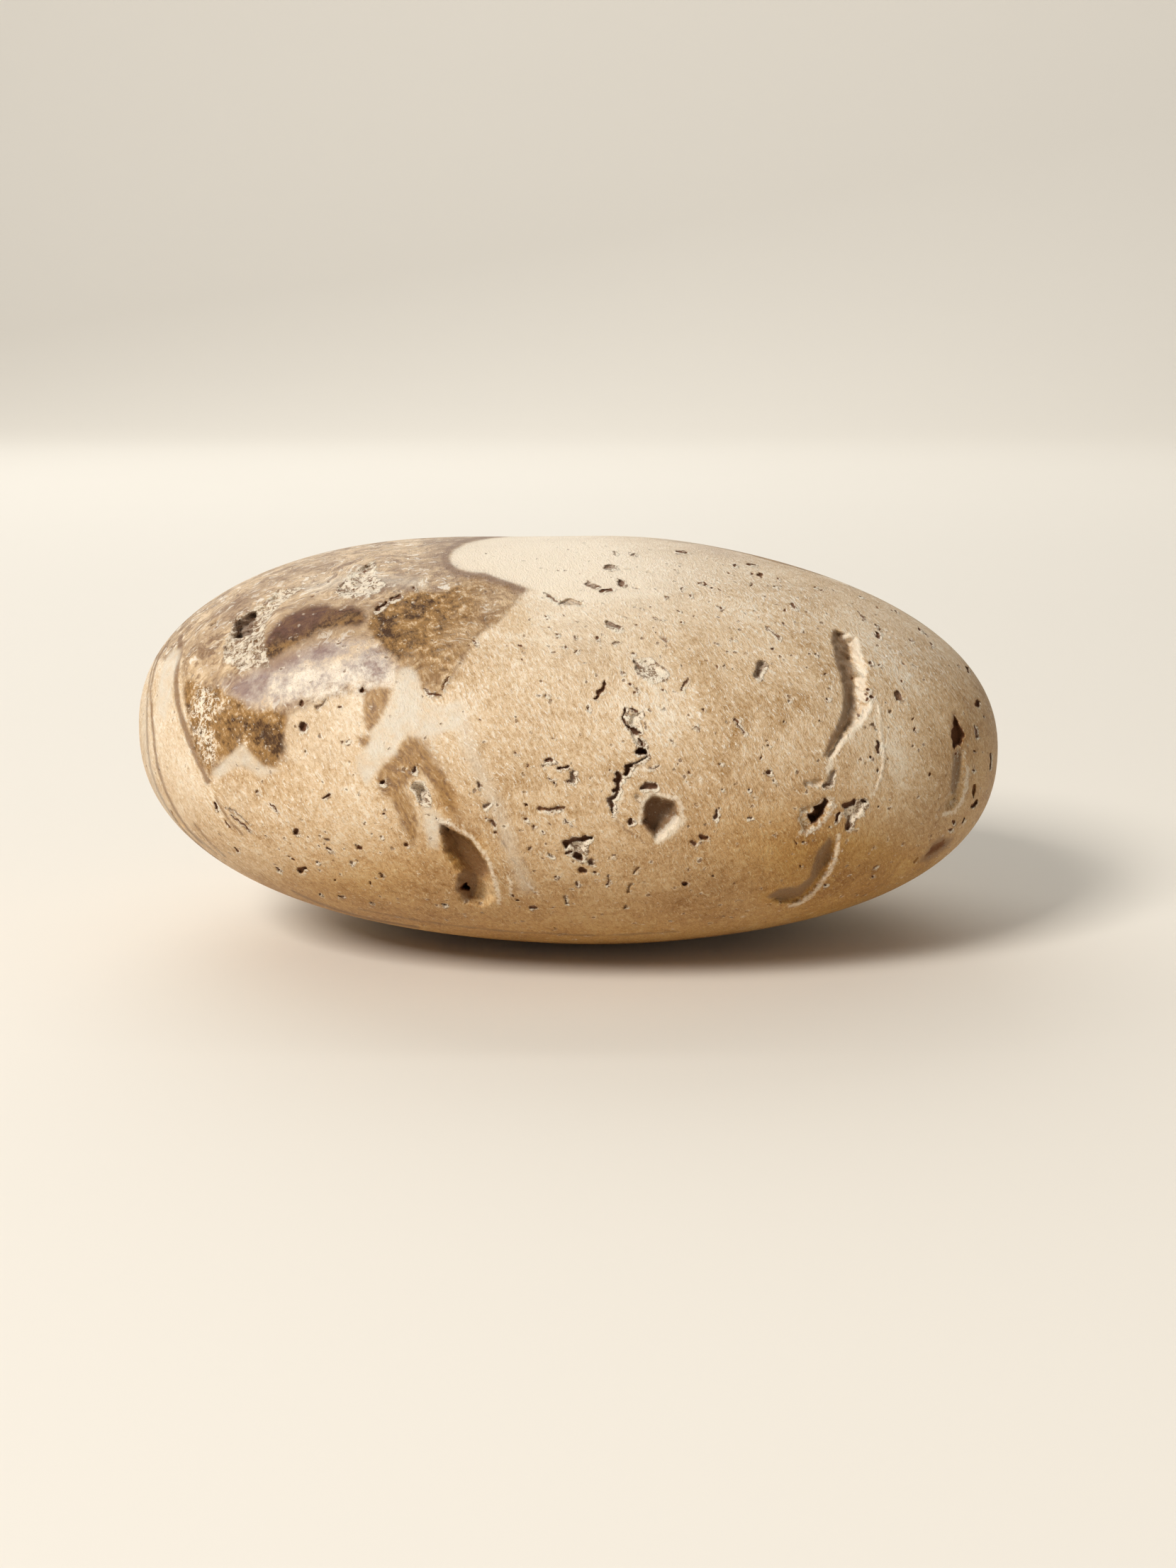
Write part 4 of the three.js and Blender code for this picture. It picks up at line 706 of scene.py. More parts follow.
def node_group(name, inputs):
    """An empty Geometry Nodes tree with these inputs, by their names and kinds."""
    tree = bpy.data.node_groups.new(name, "GeometryNodeTree")
    for label, kind in {"Geometry": "Geometry", **inputs}.items():
        tree.interface.new_socket(label, in_out="INPUT", socket_type="NodeSocket" + kind)
    tree.interface.new_socket("Geometry", in_out="OUTPUT", socket_type="NodeSocketGeometry")
    return tree


# ------------------------------------------------------------------ the ovoid

SIZES = ("Length", "Depth", "Height", "Outline Power", "Girth Power", "Lean")

# Low waves round the outline: how often each repeats, and its two shares of the radius.
SWELLS = [(3, 0.0, 0.006), (4, 0.0015, -0.005), (5, 0.007, -0.004)]


def ovoid_tree():
    """A node tree that sets every point of a unit ball on the polished ovoid."""
    tree = node_group(
        "Polished ovoid", {**dict.fromkeys(SIZES, "Float"), "Material": "Material"})
    make = Tree(tree)
    given = make.node("NodeGroupInput").outputs
    at = make.node("GeometryNodeInputPosition").outputs[0]
    way = make.node("ShaderNodeVectorMath", {0: at}, operation="NORMALIZE").outputs[0]
    x, y, z = make.node("ShaderNodeSeparateXYZ", {0: way}).outputs

    # how far along and across the leaning outline the direction points
    cosine = make.math("COSINE", given["Lean"])
    sine = make.math("SINE", given["Lean"])
    along = make.plus((x, cosine), (z, sine))
    across = make.math("SUBTRACT", make.times(z, cosine), make.times(x, sine))

    def share(value, size, power):
        doubled = make.times(make.math("ABSOLUTE", value), 2.0)
        return make.math("POWER", make.math("DIVIDE", doubled, given[size]), given[power])

    outline = make.plus(
        share(along, "Length", "Outline Power"), share(across, "Height", "Outline Power"))
    powers = make.math("DIVIDE", given["Girth Power"], given["Outline Power"])
    girth = make.plus(make.math("POWER", outline, powers), share(y, "Depth", "Girth Power"))
    radius = make.math("POWER", girth, make.math("DIVIDE", -1.0, given["Girth Power"]))

    # waves round the outline, which die away towards the face and the back
    reach = make.math("SQRT", make.plus((x, x), (z, z)))
    turn = make.math("ARCTAN2", z, x)
    swell = 1.0
    for repeats, even, odd in SWELLS:
        angle = make.times(turn, float(repeats))
        wave = make.plus((make.math("COSINE", angle), even), (make.math("SINE", angle), odd))
        swell = make.plus(swell, (make.math("POWER", reach, float(repeats)), wave))

    full = make.times(radius, swell)
    moved = make.node(
        "GeometryNodeSetPosition", {"Geometry": given[0], "Position": make.scaled(way, full)})
    whole = make.node("GeometryNodeRealizeInstances", {"Geometry": moved.outputs[0]})
    clad = make.node(
        "GeometryNodeSetMaterial", {"Geometry": whole.outputs[0], "Material": given["Material"]})
    make.node("NodeGroupOutput", {0: clad.outputs[0]})
    return tree


def pore_tree():
    """A node tree that scatters pores over a surface, each a point with a radius in mm."""
    amounts = ("Spacing", "Density", "Smallest", "Largest", "Cluster Size")
    tree = node_group("Scattered pores", {**dict.fromkeys(amounts, "Float"), "Seed": "Int"})
    make = Tree(tree)
    given = make.node("NodeGroupInput").outputs
    normal = make.node("GeometryNodeInputNormal").outputs[0]
    front = make.node("ShaderNodeSeparateXYZ", {0: normal}).outputs[1]
    away = make.node("ShaderNodeMapRange", {
        "Value": front, "From Min": -0.75, "From Max": 0.1, "To Min": 0.12}).outputs[0]
    clouds = make.node(
        "ShaderNodeTexNoise", {"Scale": given["Cluster Size"], "Detail": 1.0}).outputs[0]
    dense = make.node(
        "ShaderNodeMapRange", {"Value": clouds, "From Min": 0.38, "From Max": 0.66}).outputs[0]
    factor = make.math("MULTIPLY", away, dense, clamp=True)
    scatter = make.node("GeometryNodeDistributePointsOnFaces", {
        "Mesh": given[0], "Distance Min": given["Spacing"], "Density Max": given["Density"],
        "Density Factor": factor, "Seed": given["Seed"]}, distribute_method="POISSON")
    chance = make.node("FunctionNodeRandomValue", {2: 0.0, 3: 1.0, "Seed": given["Seed"]})
    few = make.math("POWER", chance.outputs[1], 2.5)
    span = make.math("SUBTRACT", given["Largest"], given["Smallest"])
    radius = make.plus(given["Smallest"], (few, span))
    marked = make.node("GeometryNodeStoreNamedAttribute", {
        "Geometry": scatter.outputs[0], "Name": "pore_radius", "Value": radius},
        data_type="FLOAT", domain="POINT")
    points = make.node("GeometryNodePointsToVertices", {0: marked.outputs[0]})
    whole = make.node("GeometryNodeRealizeInstances", {"Geometry": points.outputs[0]})
    make.node("NodeGroupOutput", {0: whole.outputs[0]})
    return tree


def made_by(tree, mesh, values, name):
    """The plain mesh that a node tree makes of a mesh, with these values for its inputs."""
    carrier = bpy.data.objects.new(name, mesh)
    bpy.context.scene.collection.objects.link(carrier)
    modifier = carrier.modifiers.new(tree.name, "NODES")
    modifier.node_group = tree
    sockets = {item.name: item.identifier for item in tree.interface.items_tree
               if item.in_out == "INPUT"}
    for label, value in values.items():
        modifier[sockets[label]] = value
    ready = carrier.evaluated_get(bpy.context.evaluated_depsgraph_get())
    made = bpy.data.meshes.new_from_object(ready)
    bpy.data.objects.remove(carrier)
    return made


def coordinates_of(mesh):
    """The places of a mesh's vertices as an array."""
    flat = np.empty(3 * len(mesh.vertices), dtype=np.float32)
    mesh.vertices.foreach_get("co", flat)
    return flat.reshape(-1, 3).astype(float)


def point_mesh(points, triangles=()):
    """A mesh of these vertices and triangles."""
    mesh = bpy.data.meshes.new("palm stone points")
    mesh.vertices.add(len(points))
    mesh.vertices.foreach_set("co", np.asarray(points, dtype=np.float32).ravel())
    if len(triangles):
        count = len(triangles)
        mesh.loops.add(3 * count)
        mesh.loops.foreach_set("vertex_index", np.asarray(triangles, dtype=np.int32).ravel())
        mesh.polygons.add(count)
        mesh.polygons.foreach_set("loop_start", np.arange(0, 3 * count, 3, dtype=np.int32))
    mesh.update(calc_edges=True)
    return mesh


class Ovoid:
    """The polished ovoid, as its node tree makes it, around its own middle and in mm."""

    def __init__(self, shape):
        self.tree = ovoid_tree()
        self.values = {
            size: getattr(shape, size.lower().replace(" ", "_")) for size in SIZES}

    def mesh(self, directions, triangles=(), **others):
        """The ovoid's mesh with its corners in these directions; others are more inputs."""
        plain = point_mesh(directions, triangles)
        made = made_by(self.tree, plain, self.values | others, "palm stone ball")
        bpy.data.meshes.remove(plain)
        return made

    def places(self, directions):
        """Where the surface lies in these directions, in mm."""
        made = self.mesh(directions)
        found = coordinates_of(made) / MM
        bpy.data.meshes.remove(made)
        return found


# ------------------------------------------------------------------ distances on a chart


def on_chart(places, side):
    """Chart coordinates of places in mm, and how far each lies on that side of the middle."""
    right, up = (np.array(axis, dtype=float) for axis in SIDES[side])
    chart = np.stack([places @ right, places @ up], axis=1)
    return chart, places @ np.cross(right, up)


def near(chart, faces, points):
    """The rows of a chart that lie within reach of a feature's points."""
    corners = np.array([point[:2] for point in points])
    low, high = corners.min(axis=0) - REACH, corners.max(axis=0) + REACH
    within = ((chart > low) & (chart < high)).all(axis=1)
    return np.flatnonzero(within & faces)


def nearest_on(points, start, end):
    """Distance of points to a stretch, and how far along it the nearest spot is."""
    run = np.subtract(end[:2], start[:2])
    away = points - start[:2]
    along = np.clip(away @ run / max(run @ run, 1e-9), 0, 1)
    return np.linalg.norm(away - along[:, None] * run, axis=1), along


def stretches(outline):
    """The two ends of each stretch of a closed outline."""
    return zip(outline, outline[1:] + outline[:1])


def inside(points, outline):
    """Whether points lie in a closed outline."""
    x, y = points.T
    found = np.zeros(len(points), dtype=bool)
    for start, end in stretches(outline):
        if start[1] == end[1]:
            continue
        spans = (start[1] > y) != (end[1] > y)
        cut = start[0] + (y - start[1]) / (end[1] - start[1]) * (end[0] - start[0])
        found ^= spans & (x < cut)
    return found


def outline_share(points, outline, wall=1.0):
    """Depth share of points in a closed outline with such walls, and how far inside they lie."""
    share = np.ones(len(points))
    rim = np.full(len(points), np.inf)
    for start, end in stretches(outline):
        distance, _ = nearest_on(points, start, end)
        share = np.minimum(share, distance / (start[2] if len(start) > 2 else wall))
        rim = np.minimum(rim, distance)
    within = inside(points, outline)
    share = np.where(within, share * share * (3 - 2 * share), 0)
    return share, np.where(within, rim, -rim)


def path_share(points, path):
    """Depth share of points in a bowl along a path, and how far inside they lie."""
    path = path if len(path) > 1 else path * 2
    share = np.zeros(len(points))
    rim = np.full(len(points), -np.inf)
    for start, end in zip(path[:-1], path[1:]):
        distance, along = nearest_on(points, start, end)
        half = start[2] + along * (end[2] - start[2])
        bowl = np.clip(1 - (distance / half) ** 2, 0, 1)
        share = np.maximum(share, bowl ** BOWL_POWER)
        rim = np.maximum(rim, half - distance)
    return share, rim


def hollow_share(points, hollow):
    """Depth share of points in a hollow, and how far inside its rim they lie."""
    if hollow.wall:
        return outline_share(points, hollow.points, hollow.wall)
    return path_share(points, hollow.points)


def ripple(places, size, seed):
    """Smooth noise from about -1 to 1, whose lumps are about this size in mm."""
    chance = np.random.default_rng(seed)
    total = np.zeros(len(places))
    for _ in range(RIPPLE_WAVES):
        way = chance.normal(size=3)
        way *= 2 * math.pi / size * chance.uniform(*RIPPLE_SPREAD) / np.linalg.norm(way)
        total += np.sin(places @ way + chance.uniform(0, 2 * math.pi))
    return total / math.sqrt(RIPPLE_WAVES)


def ripples(places, kinds):
    """The sum of several ripples, each given as its strength, size in mm and seed."""
    return sum(strength * ripple(places, size, seed) for strength, size, seed in kinds)


# ------------------------------------------------------------------ hollows and markings

REACH = 4.0  # how far round a feature its distance is worked out, in mm
WRAP = {"face": 4.5, "back": -5}  # how far markings of a side reach round the ends, in mm
BOWL_POWER = 0.6  # how round the floor of a groove is
PIT_DEPTH = 2.2  # depth of a small pit, as a share of its radius
PIT_WIDTH = 1.05  # how much wider a small pit is than its radius says
PIT_SEED = 5
PIT_DARK = (0.5, 1.0)  # least and most painted shade of a small pit or a slit
PIT_CHALK = (0.3, 0.85)  # least and most pale crust, with its painted highlight, of a small pit
SLIT_CHALK = (0.4, 0.9)  # least and most pale crust, with its painted highlight, of a slit
SLIT_TAPER = (0.5, 1.2)  # least and most half width at an end of a slit, as a share of its own
# painted shade and pale crust of a scattered pore
PORE_DARK = 0.9
PORE_CHALK = 0.5
SQUARE_METRE = 1e4  # in square centimetres
RIDGE_RISE = 0.1  # how far a thin ridge stands out, in mm
RIDGE_EDGE = 0.2  # longest edge of the net at a thin ridge, in mm
ROUGH_EDGE = 0.3  # longest edge of the net in a hollow with a rough floor, in mm
FAR_COARSENESS = 1.7  # how much coarser than the face the net is at rims on other sides
CRUST_SPREAD = 0.28  # how far the pale crust of a hollow spreads past its rim, in mm
CRUST_LIT_SHIFT = (0.11, -0.12)  # the crust is shifted to the lower right of a hollow, as a painted highlight on the walls that face the light, in mm
TINT_FADE = 8  # over how many mm the soft tints of the face fade out
TINT_END = 1.2  # how far behind the stone's middle they end, as a share of that distance

RIPPLE_WAVES = 9  # how many waves make up a ripple
RIPPLE_SPREAD = (0.5, 1.1)  # how tight those waves are, as shares of what the ripple's size gives

# Ripples that make outlines uneven, floors rough, and the far borders of markings waver.
UNEVEN_RIGHT = [(0.075, 0.7, 11), (0.07, 2.4, 13)]
UNEVEN_UP = [(0.075, 0.7, 12), (0.07, 2.4, 14)]
ROUGHNESS = [(0.9, 0.8, 21), (0.9, 1.6, 22)]
WAVERING = [(5, 5.5, 31), (1.5, 1.6, 32)]


def all_grooves(pores):
    """Every groove, pit and slit, the scattered pores included."""
    found = list(GROOVES)
    chance = np.random.default_rng(PIT_SEED)
    for right, up, radius in FACE_PITS:
        dark, chalk = chance.uniform(*PIT_DARK), chance.uniform(*PIT_CHALK)
        path = [(right, up, PIT_WIDTH * radius)]
        found.append(Hollow("face", PIT_DEPTH * radius, dark, chalk, path))
    for right, up, end_right, end_up, half in FACE_SLITS:
        dark, chalk = chance.uniform(*PIT_DARK), chance.uniform(*SLIT_CHALK)
        path = [(*end, chance.uniform(*SLIT_TAPER) * half)
                for end in ((right, up), (end_right, end_up))]
        found.append(Hollow("face", PIT_DEPTH * half, dark, chalk, path))
    for side, right, up, radius in pores:
        path = [(right, up, radius)]
        found.append(Hollow(side, PIT_DEPTH * radius, PORE_DARK, PORE_CHALK, path))
    return found


def scattered_pores(ovoid, surface):
    """The pores that the node tree scatters, each drawn on the chart that it faces most."""
    coarse = ovoid.mesh(*ball(level=4))
    cloud = made_by(pore_tree(), coarse, {
        "Spacing": surface.pore_spacing, "Density": surface.pore_density * SQUARE_METRE,
        "Smallest": 0.09, "Largest": 0.36, "Cluster Size": 90.0, "Seed": surface.pore_seed,
    }, "palm stone pores")
    places = coordinates_of(cloud) / MM
    radii = np.empty(len(places), dtype=np.float32)
    cloud.attributes["pore_radius"].data.foreach_get("value", radii)
    found = []
    for place, radius in zip(places, radii):
        normal = place / np.array(HALF_SIZES) ** 2
        facing = {name: normal @ np.cross(*axes) for name, axes in SIDES.items()}
        side = max(facing, key=facing.get)
        chart, _ = on_chart(place[None], side)
        found.append((side, *chart[0], float(radius)))
    bpy.data.meshes.remove(cloud)
    bpy.data.meshes.remove(coarse)
    return found


class Surface:
    """What lies at places of the polished surface: hollows with their painted shade, their crusts with
    painted highlights, and markings.
    """

    def __init__(self, pores, settings):
        self.grooves = all_grooves(pores)
        self.rim_share = settings.rim_share
        self.growth = settings.growth
        self.finest = settings.finest_edge / MM

    def charts(self, places):
        """Warped chart coordinates by side, so that outlines come out uneven, as in rock."""
        uneven = np.stack([ripples(places, UNEVEN_RIGHT), ripples(places, UNEVEN_UP)], axis=1)
        found = {}
        for side in SIDES:
            chart, forward = on_chart(places, side)
            found[side] = (chart + uneven, forward > 0)
        return found

    def hollows(self, places):
        """How places sink in mm, the painted shade of their floors, their crust with its painted
        highlight, and the longest edge allowed by rims nearby.
        """
        count = len(places)
        sinks = {side: np.zeros(count) for side in SIDES}
        dark, crust = np.zeros(count), np.zeros(count)
        edge = np.full(count, REACH)
        charts = self.charts(places)
        lumps = ripples(places, ROUGHNESS)
        for hollow in POCKETS + self.grooves:
            chart, faces = charts[hollow.side]
            rows = near(chart, faces, hollow.points)
            if not len(rows):
                continue
            spots = chart[rows]
            share, inward = hollow_share(spots, hollow)
            deeper = hollow.depth * share * (1 + hollow.rough * lumps[rows])
            sink = sinks[hollow.side]
            sink[rows] = np.maximum(sink[rows], deeper)
            # the floor's painted shade climbs the walls as far as flood says
            flooded = np.clip(share * hollow.flood, 0, 1)
            dark[rows] = np.maximum(dark[rows], hollow.dark * flooded)
            # the crust is measured from an outline shifted to the lower right, a painted highlight on
            # walls that face the light
            beside = hollow_share(spots - CRUST_LIT_SHIFT, hollow)[1]
            pale = np.clip(1 + beside / CRUST_SPREAD, 0, 1)
            crust[rows] = np.maximum(crust[rows], hollow.chalk * pale)
            width = hollow.wall or max(point[2] for point in hollow.points)
            finest = self.finest * (1 if hollow.side == "face" else FAR_COARSENESS)
            wanted = max(self.rim_share * width, finest) + self.growth * np.abs(inward)
            if hollow.rough:
                wanted = np.where(inward > 0, np.minimum(wanted, ROUGH_EDGE), wanted)
            edge[rows] = np.minimum(edge[rows], wanted)
        for path in FACE_RIDGES:
            chart, faces = charts["face"]
            rows = near(chart, faces, path)
            share, inward = path_share(chart[rows], path)
            sinks["face"][rows] -= RIDGE_RISE * share
            edge[rows] = np.minimum(edge[rows], RIDGE_EDGE + self.growth * np.abs(inward))
        sunk = sum(sinks[side][:, None] * -np.cross(*SIDES[side]) for side in SIDES)
        return dict(sunk=sunk, dark=dark, crust=crust, edge=edge)

    def markings(self, places):
        """Distance inside each kind of marking, in mm."""
        found = {}
        wavering = ripples(places, WAVERING)
        for name, drawn in (ZONES | LINES).items():
            found[name] = value = np.full(len(places), -REACH)
            for side, *half, points in drawn:
                chart, forward = on_chart(places, side)
                wrapped = forward + WRAP.get(side, 0) + wavering
                rows = near(chart, wrapped > -REACH, points)
                if half:
                    path = [(*point, *half) for point in points]
                    _, inward = path_share(chart[rows], path)
                else:
                    _, inward = outline_share(chart[rows], points)
                inward = np.minimum(inward, wrapped[rows])
                value[rows] = np.maximum(value[rows], inward)
        return found

    def tints(self, places):
        """Strength of each soft tint, from 0 to 1."""
        found = {}
        chart, forward = on_chart(places, "face")
        faces = np.clip(forward / TINT_FADE + TINT_END, 0, 1)
        for name, spots in TINTS.items():
            value = np.zeros(len(places))
            for right, up, reach_right, reach_up, degrees, strength in spots:
                turn = math.radians(degrees)
                away = chart - (right, up)
                along = away @ (math.cos(turn), math.sin(turn)) / reach_right
                across = away @ (-math.sin(turn), math.cos(turn)) / reach_up
                value += strength * np.exp(-(along**2 + across**2)) * faces
            found[name] = np.clip(value, 0, 1)
        return found


# ------------------------------------------------------------------ the net of triangles

FRONT_FADE = 8  # over how many mm the net turns from the face's into the back's


def ball(level):
    """Directions and triangles of a ball."""
    sphere = bmesh.new()
    bmesh.ops.create_icosphere(sphere, subdivisions=level, radius=1)
    directions = np.array([vertex.co for vertex in sphere.verts], dtype=float)
    directions /= np.linalg.norm(directions, axis=1)[:, None]
    triangles = np.array([[corner.index for corner in face.verts] for face in sphere.faces])
    sphere.free()
    return directions, triangles


def longest_first(triangles, places):
    """Turns each triangle so that its longest edge comes first, and gives those lengths."""
    corners = places[triangles]
    lengths = np.linalg.norm(np.roll(corners, -1, axis=1) - corners, axis=2)
    first = lengths.argmax(axis=1)
    turned = (first[:, None] + np.arange(3)) % 3
    rows = np.arange(len(triangles))
    return np.take_along_axis(triangles, turned, axis=1), lengths[rows, first]


def edges_of(triangles, count):
    """Numbers of each triangle's three edges, and the two corners of every edge."""
    pairs = np.stack([triangles, np.roll(triangles, -1, axis=1)], axis=2)
    keys = pairs.min(axis=2) * count + pairs.max(axis=2)
    unique, numbers = np.unique(keys, return_inverse=True)
    return numbers.reshape(-1, 3), np.stack([unique // count, unique % count], axis=1)


def split_once(triangles, numbers, marked, first_new):
    """Splits the marked edges, the longest edge of each triangle first."""
    middle_of = np.full(len(marked), -1)
    middle_of[marked] = first_new + np.arange(marked.sum())
    a, b, c = triangles.T
    middle, right, left = middle_of[numbers].T
    whole = middle < 0
    parts = [triangles[whole]]
    for rows, corners in (
        (~whole & (left < 0), (a, middle, c)),
        (~whole & (left >= 0), (a, middle, left)),
        (~whole & (left >= 0), (middle, c, left)),
        (~whole & (right < 0), (middle, b, c)),
        (~whole & (right >= 0), (middle, b, right)),
        (~whole & (right >= 0), (middle, right, c)),
    ):
        parts.append(np.stack([corner[rows] for corner in corners], axis=1))
    return np.concatenate(parts)


def edge_limits(places, surface_of, settings):
    """Longest edge allowed at places, in mm."""
    at_rim = surface_of.hollows(places)["edge"]
    borders = [np.abs(value) for value in surface_of.markings(places).values()]
    at_border = settings.zone_edge / MM + settings.growth * np.min(borders, axis=0)
    front = np.clip(0.5 - places[:, 1] / FRONT_FADE, 0, 1)
    plain = settings.back_edge + front * (settings.face_edge - settings.back_edge)
    return np.minimum(plain / MM, np.minimum(at_rim, at_border))


def net(ovoid, surface_of, settings):
    """Directions, places in mm and triangles of the stone, fine at rims and borders."""
    directions, triangles = ball(level=5)
    places = ovoid.places(directions)
    limits = edge_limits(places, surface_of, settings)
    while True:
        triangles, lengths = longest_first(triangles, places)
        numbers, ends = edges_of(triangles, len(places))
        marked = np.zeros(len(ends), dtype=bool)
        marked[numbers[lengths > limits[triangles].min(axis=1), 0]] = True
        while True:
            pulled = (marked[numbers[:, 1]] | marked[numbers[:, 2]]) & ~marked[numbers[:, 0]]
            if not pulled.any():
                break
            marked[numbers[pulled, 0]] = True
        if not marked.any():
            return directions, places, triangles
        middles = directions[ends[marked]].sum(axis=1)
        middles /= np.linalg.norm(middles, axis=1)[:, None]
        triangles = split_once(triangles, numbers, marked, len(places))
        new_places = ovoid.places(middles)
        directions = np.concatenate([directions, middles])
        places = np.concatenate([places, new_places])
        limits = np.concatenate([limits, edge_limits(new_places, surface_of, settings)])


# ------------------------------------------------------------------ calcite


class Paint(Tree):
    """Adds the nodes of a finish, whose patterns are laid out in a unit given in metres."""

    def __init__(self, tree, unit):
        super().__init__(tree)
        self.tones = {}
        self.place = self.scaled(self.node("ShaderNodeTexCoord").outputs["Object"], 1 / unit)

    def attribute(self, name):
        """A value that the mesh holds at its points."""
        return self.node("ShaderNodeAttribute", attribute_name=name).outputs["Fac"]

    def noise(self, scale, detail=2.0, roughness=0.5, distortion=0.0):
        """Clouds; the scale is how many there are in a unit."""
        return self.node("ShaderNodeTexNoise", {
            "Vector": self.place, "Scale": scale, "Detail": detail, "Roughness": roughness,
            "Distortion": distortion}).outputs[0]

    def grained(self, along, across, flow, detail=2.0, roughness=0.6):
        """Noise drawn out along lines of equal flow: along and across are sizes in 1/mm."""
        return self.node("ShaderNodeTexNoise", {
            "Vector": self.scaled(self.place, along), "W": self.times(flow, across),
            "Scale": 1.0, "Detail": detail, "Roughness": roughness},
            noise_dimensions="4D").outputs[0]

    def cells(self, place, scale):
        """Distance from the middle of cells."""
        return self.node("ShaderNodeTexVoronoi", {"Vector": place, "Scale": scale}).outputs[0]

    def span(self, value, low, high, kind="SMOOTHSTEP"):
        """Turns low to high into nought to one, softly or evenly."""
        return self.node("ShaderNodeMapRange", {
            "Value": value, "From Min": low, "From Max": high},
            interpolation_type=kind).outputs[0]

    def rest_of(self, share):
        """What a share leaves of one."""
        return self.math("SUBTRACT", 1.0, share, clamp=True)

    def tint(self, ground, tone, *shares, kind="MIX"):
        """Lays a tone, given by its name or as a colour, over the ground in these shares."""
        mixed = self.node("ShaderNodeMix", data_type="RGBA", blend_type=kind)
        above = self.tones[tone] if isinstance(tone, str) else tone
        for socket, value in ((0, self.times(*shares)), (6, ground), (7, above)):
            self.feed(mixed.inputs[socket], value)
        return mixed.outputs[2]

    def ramp(self, value, *stops):
        """A colour for a value: stops are positions and names of tones."""
        made = self.node("ShaderNodeValToRGB", {0: value})
        elements = made.color_ramp.elements
        while len(elements) < len(stops):
            elements.new(0.5)
        for element, (position, tone) in zip(elements, stops):
            element.position = position
            element.color = (*self.tones[tone], 1)
        return made.outputs[0]


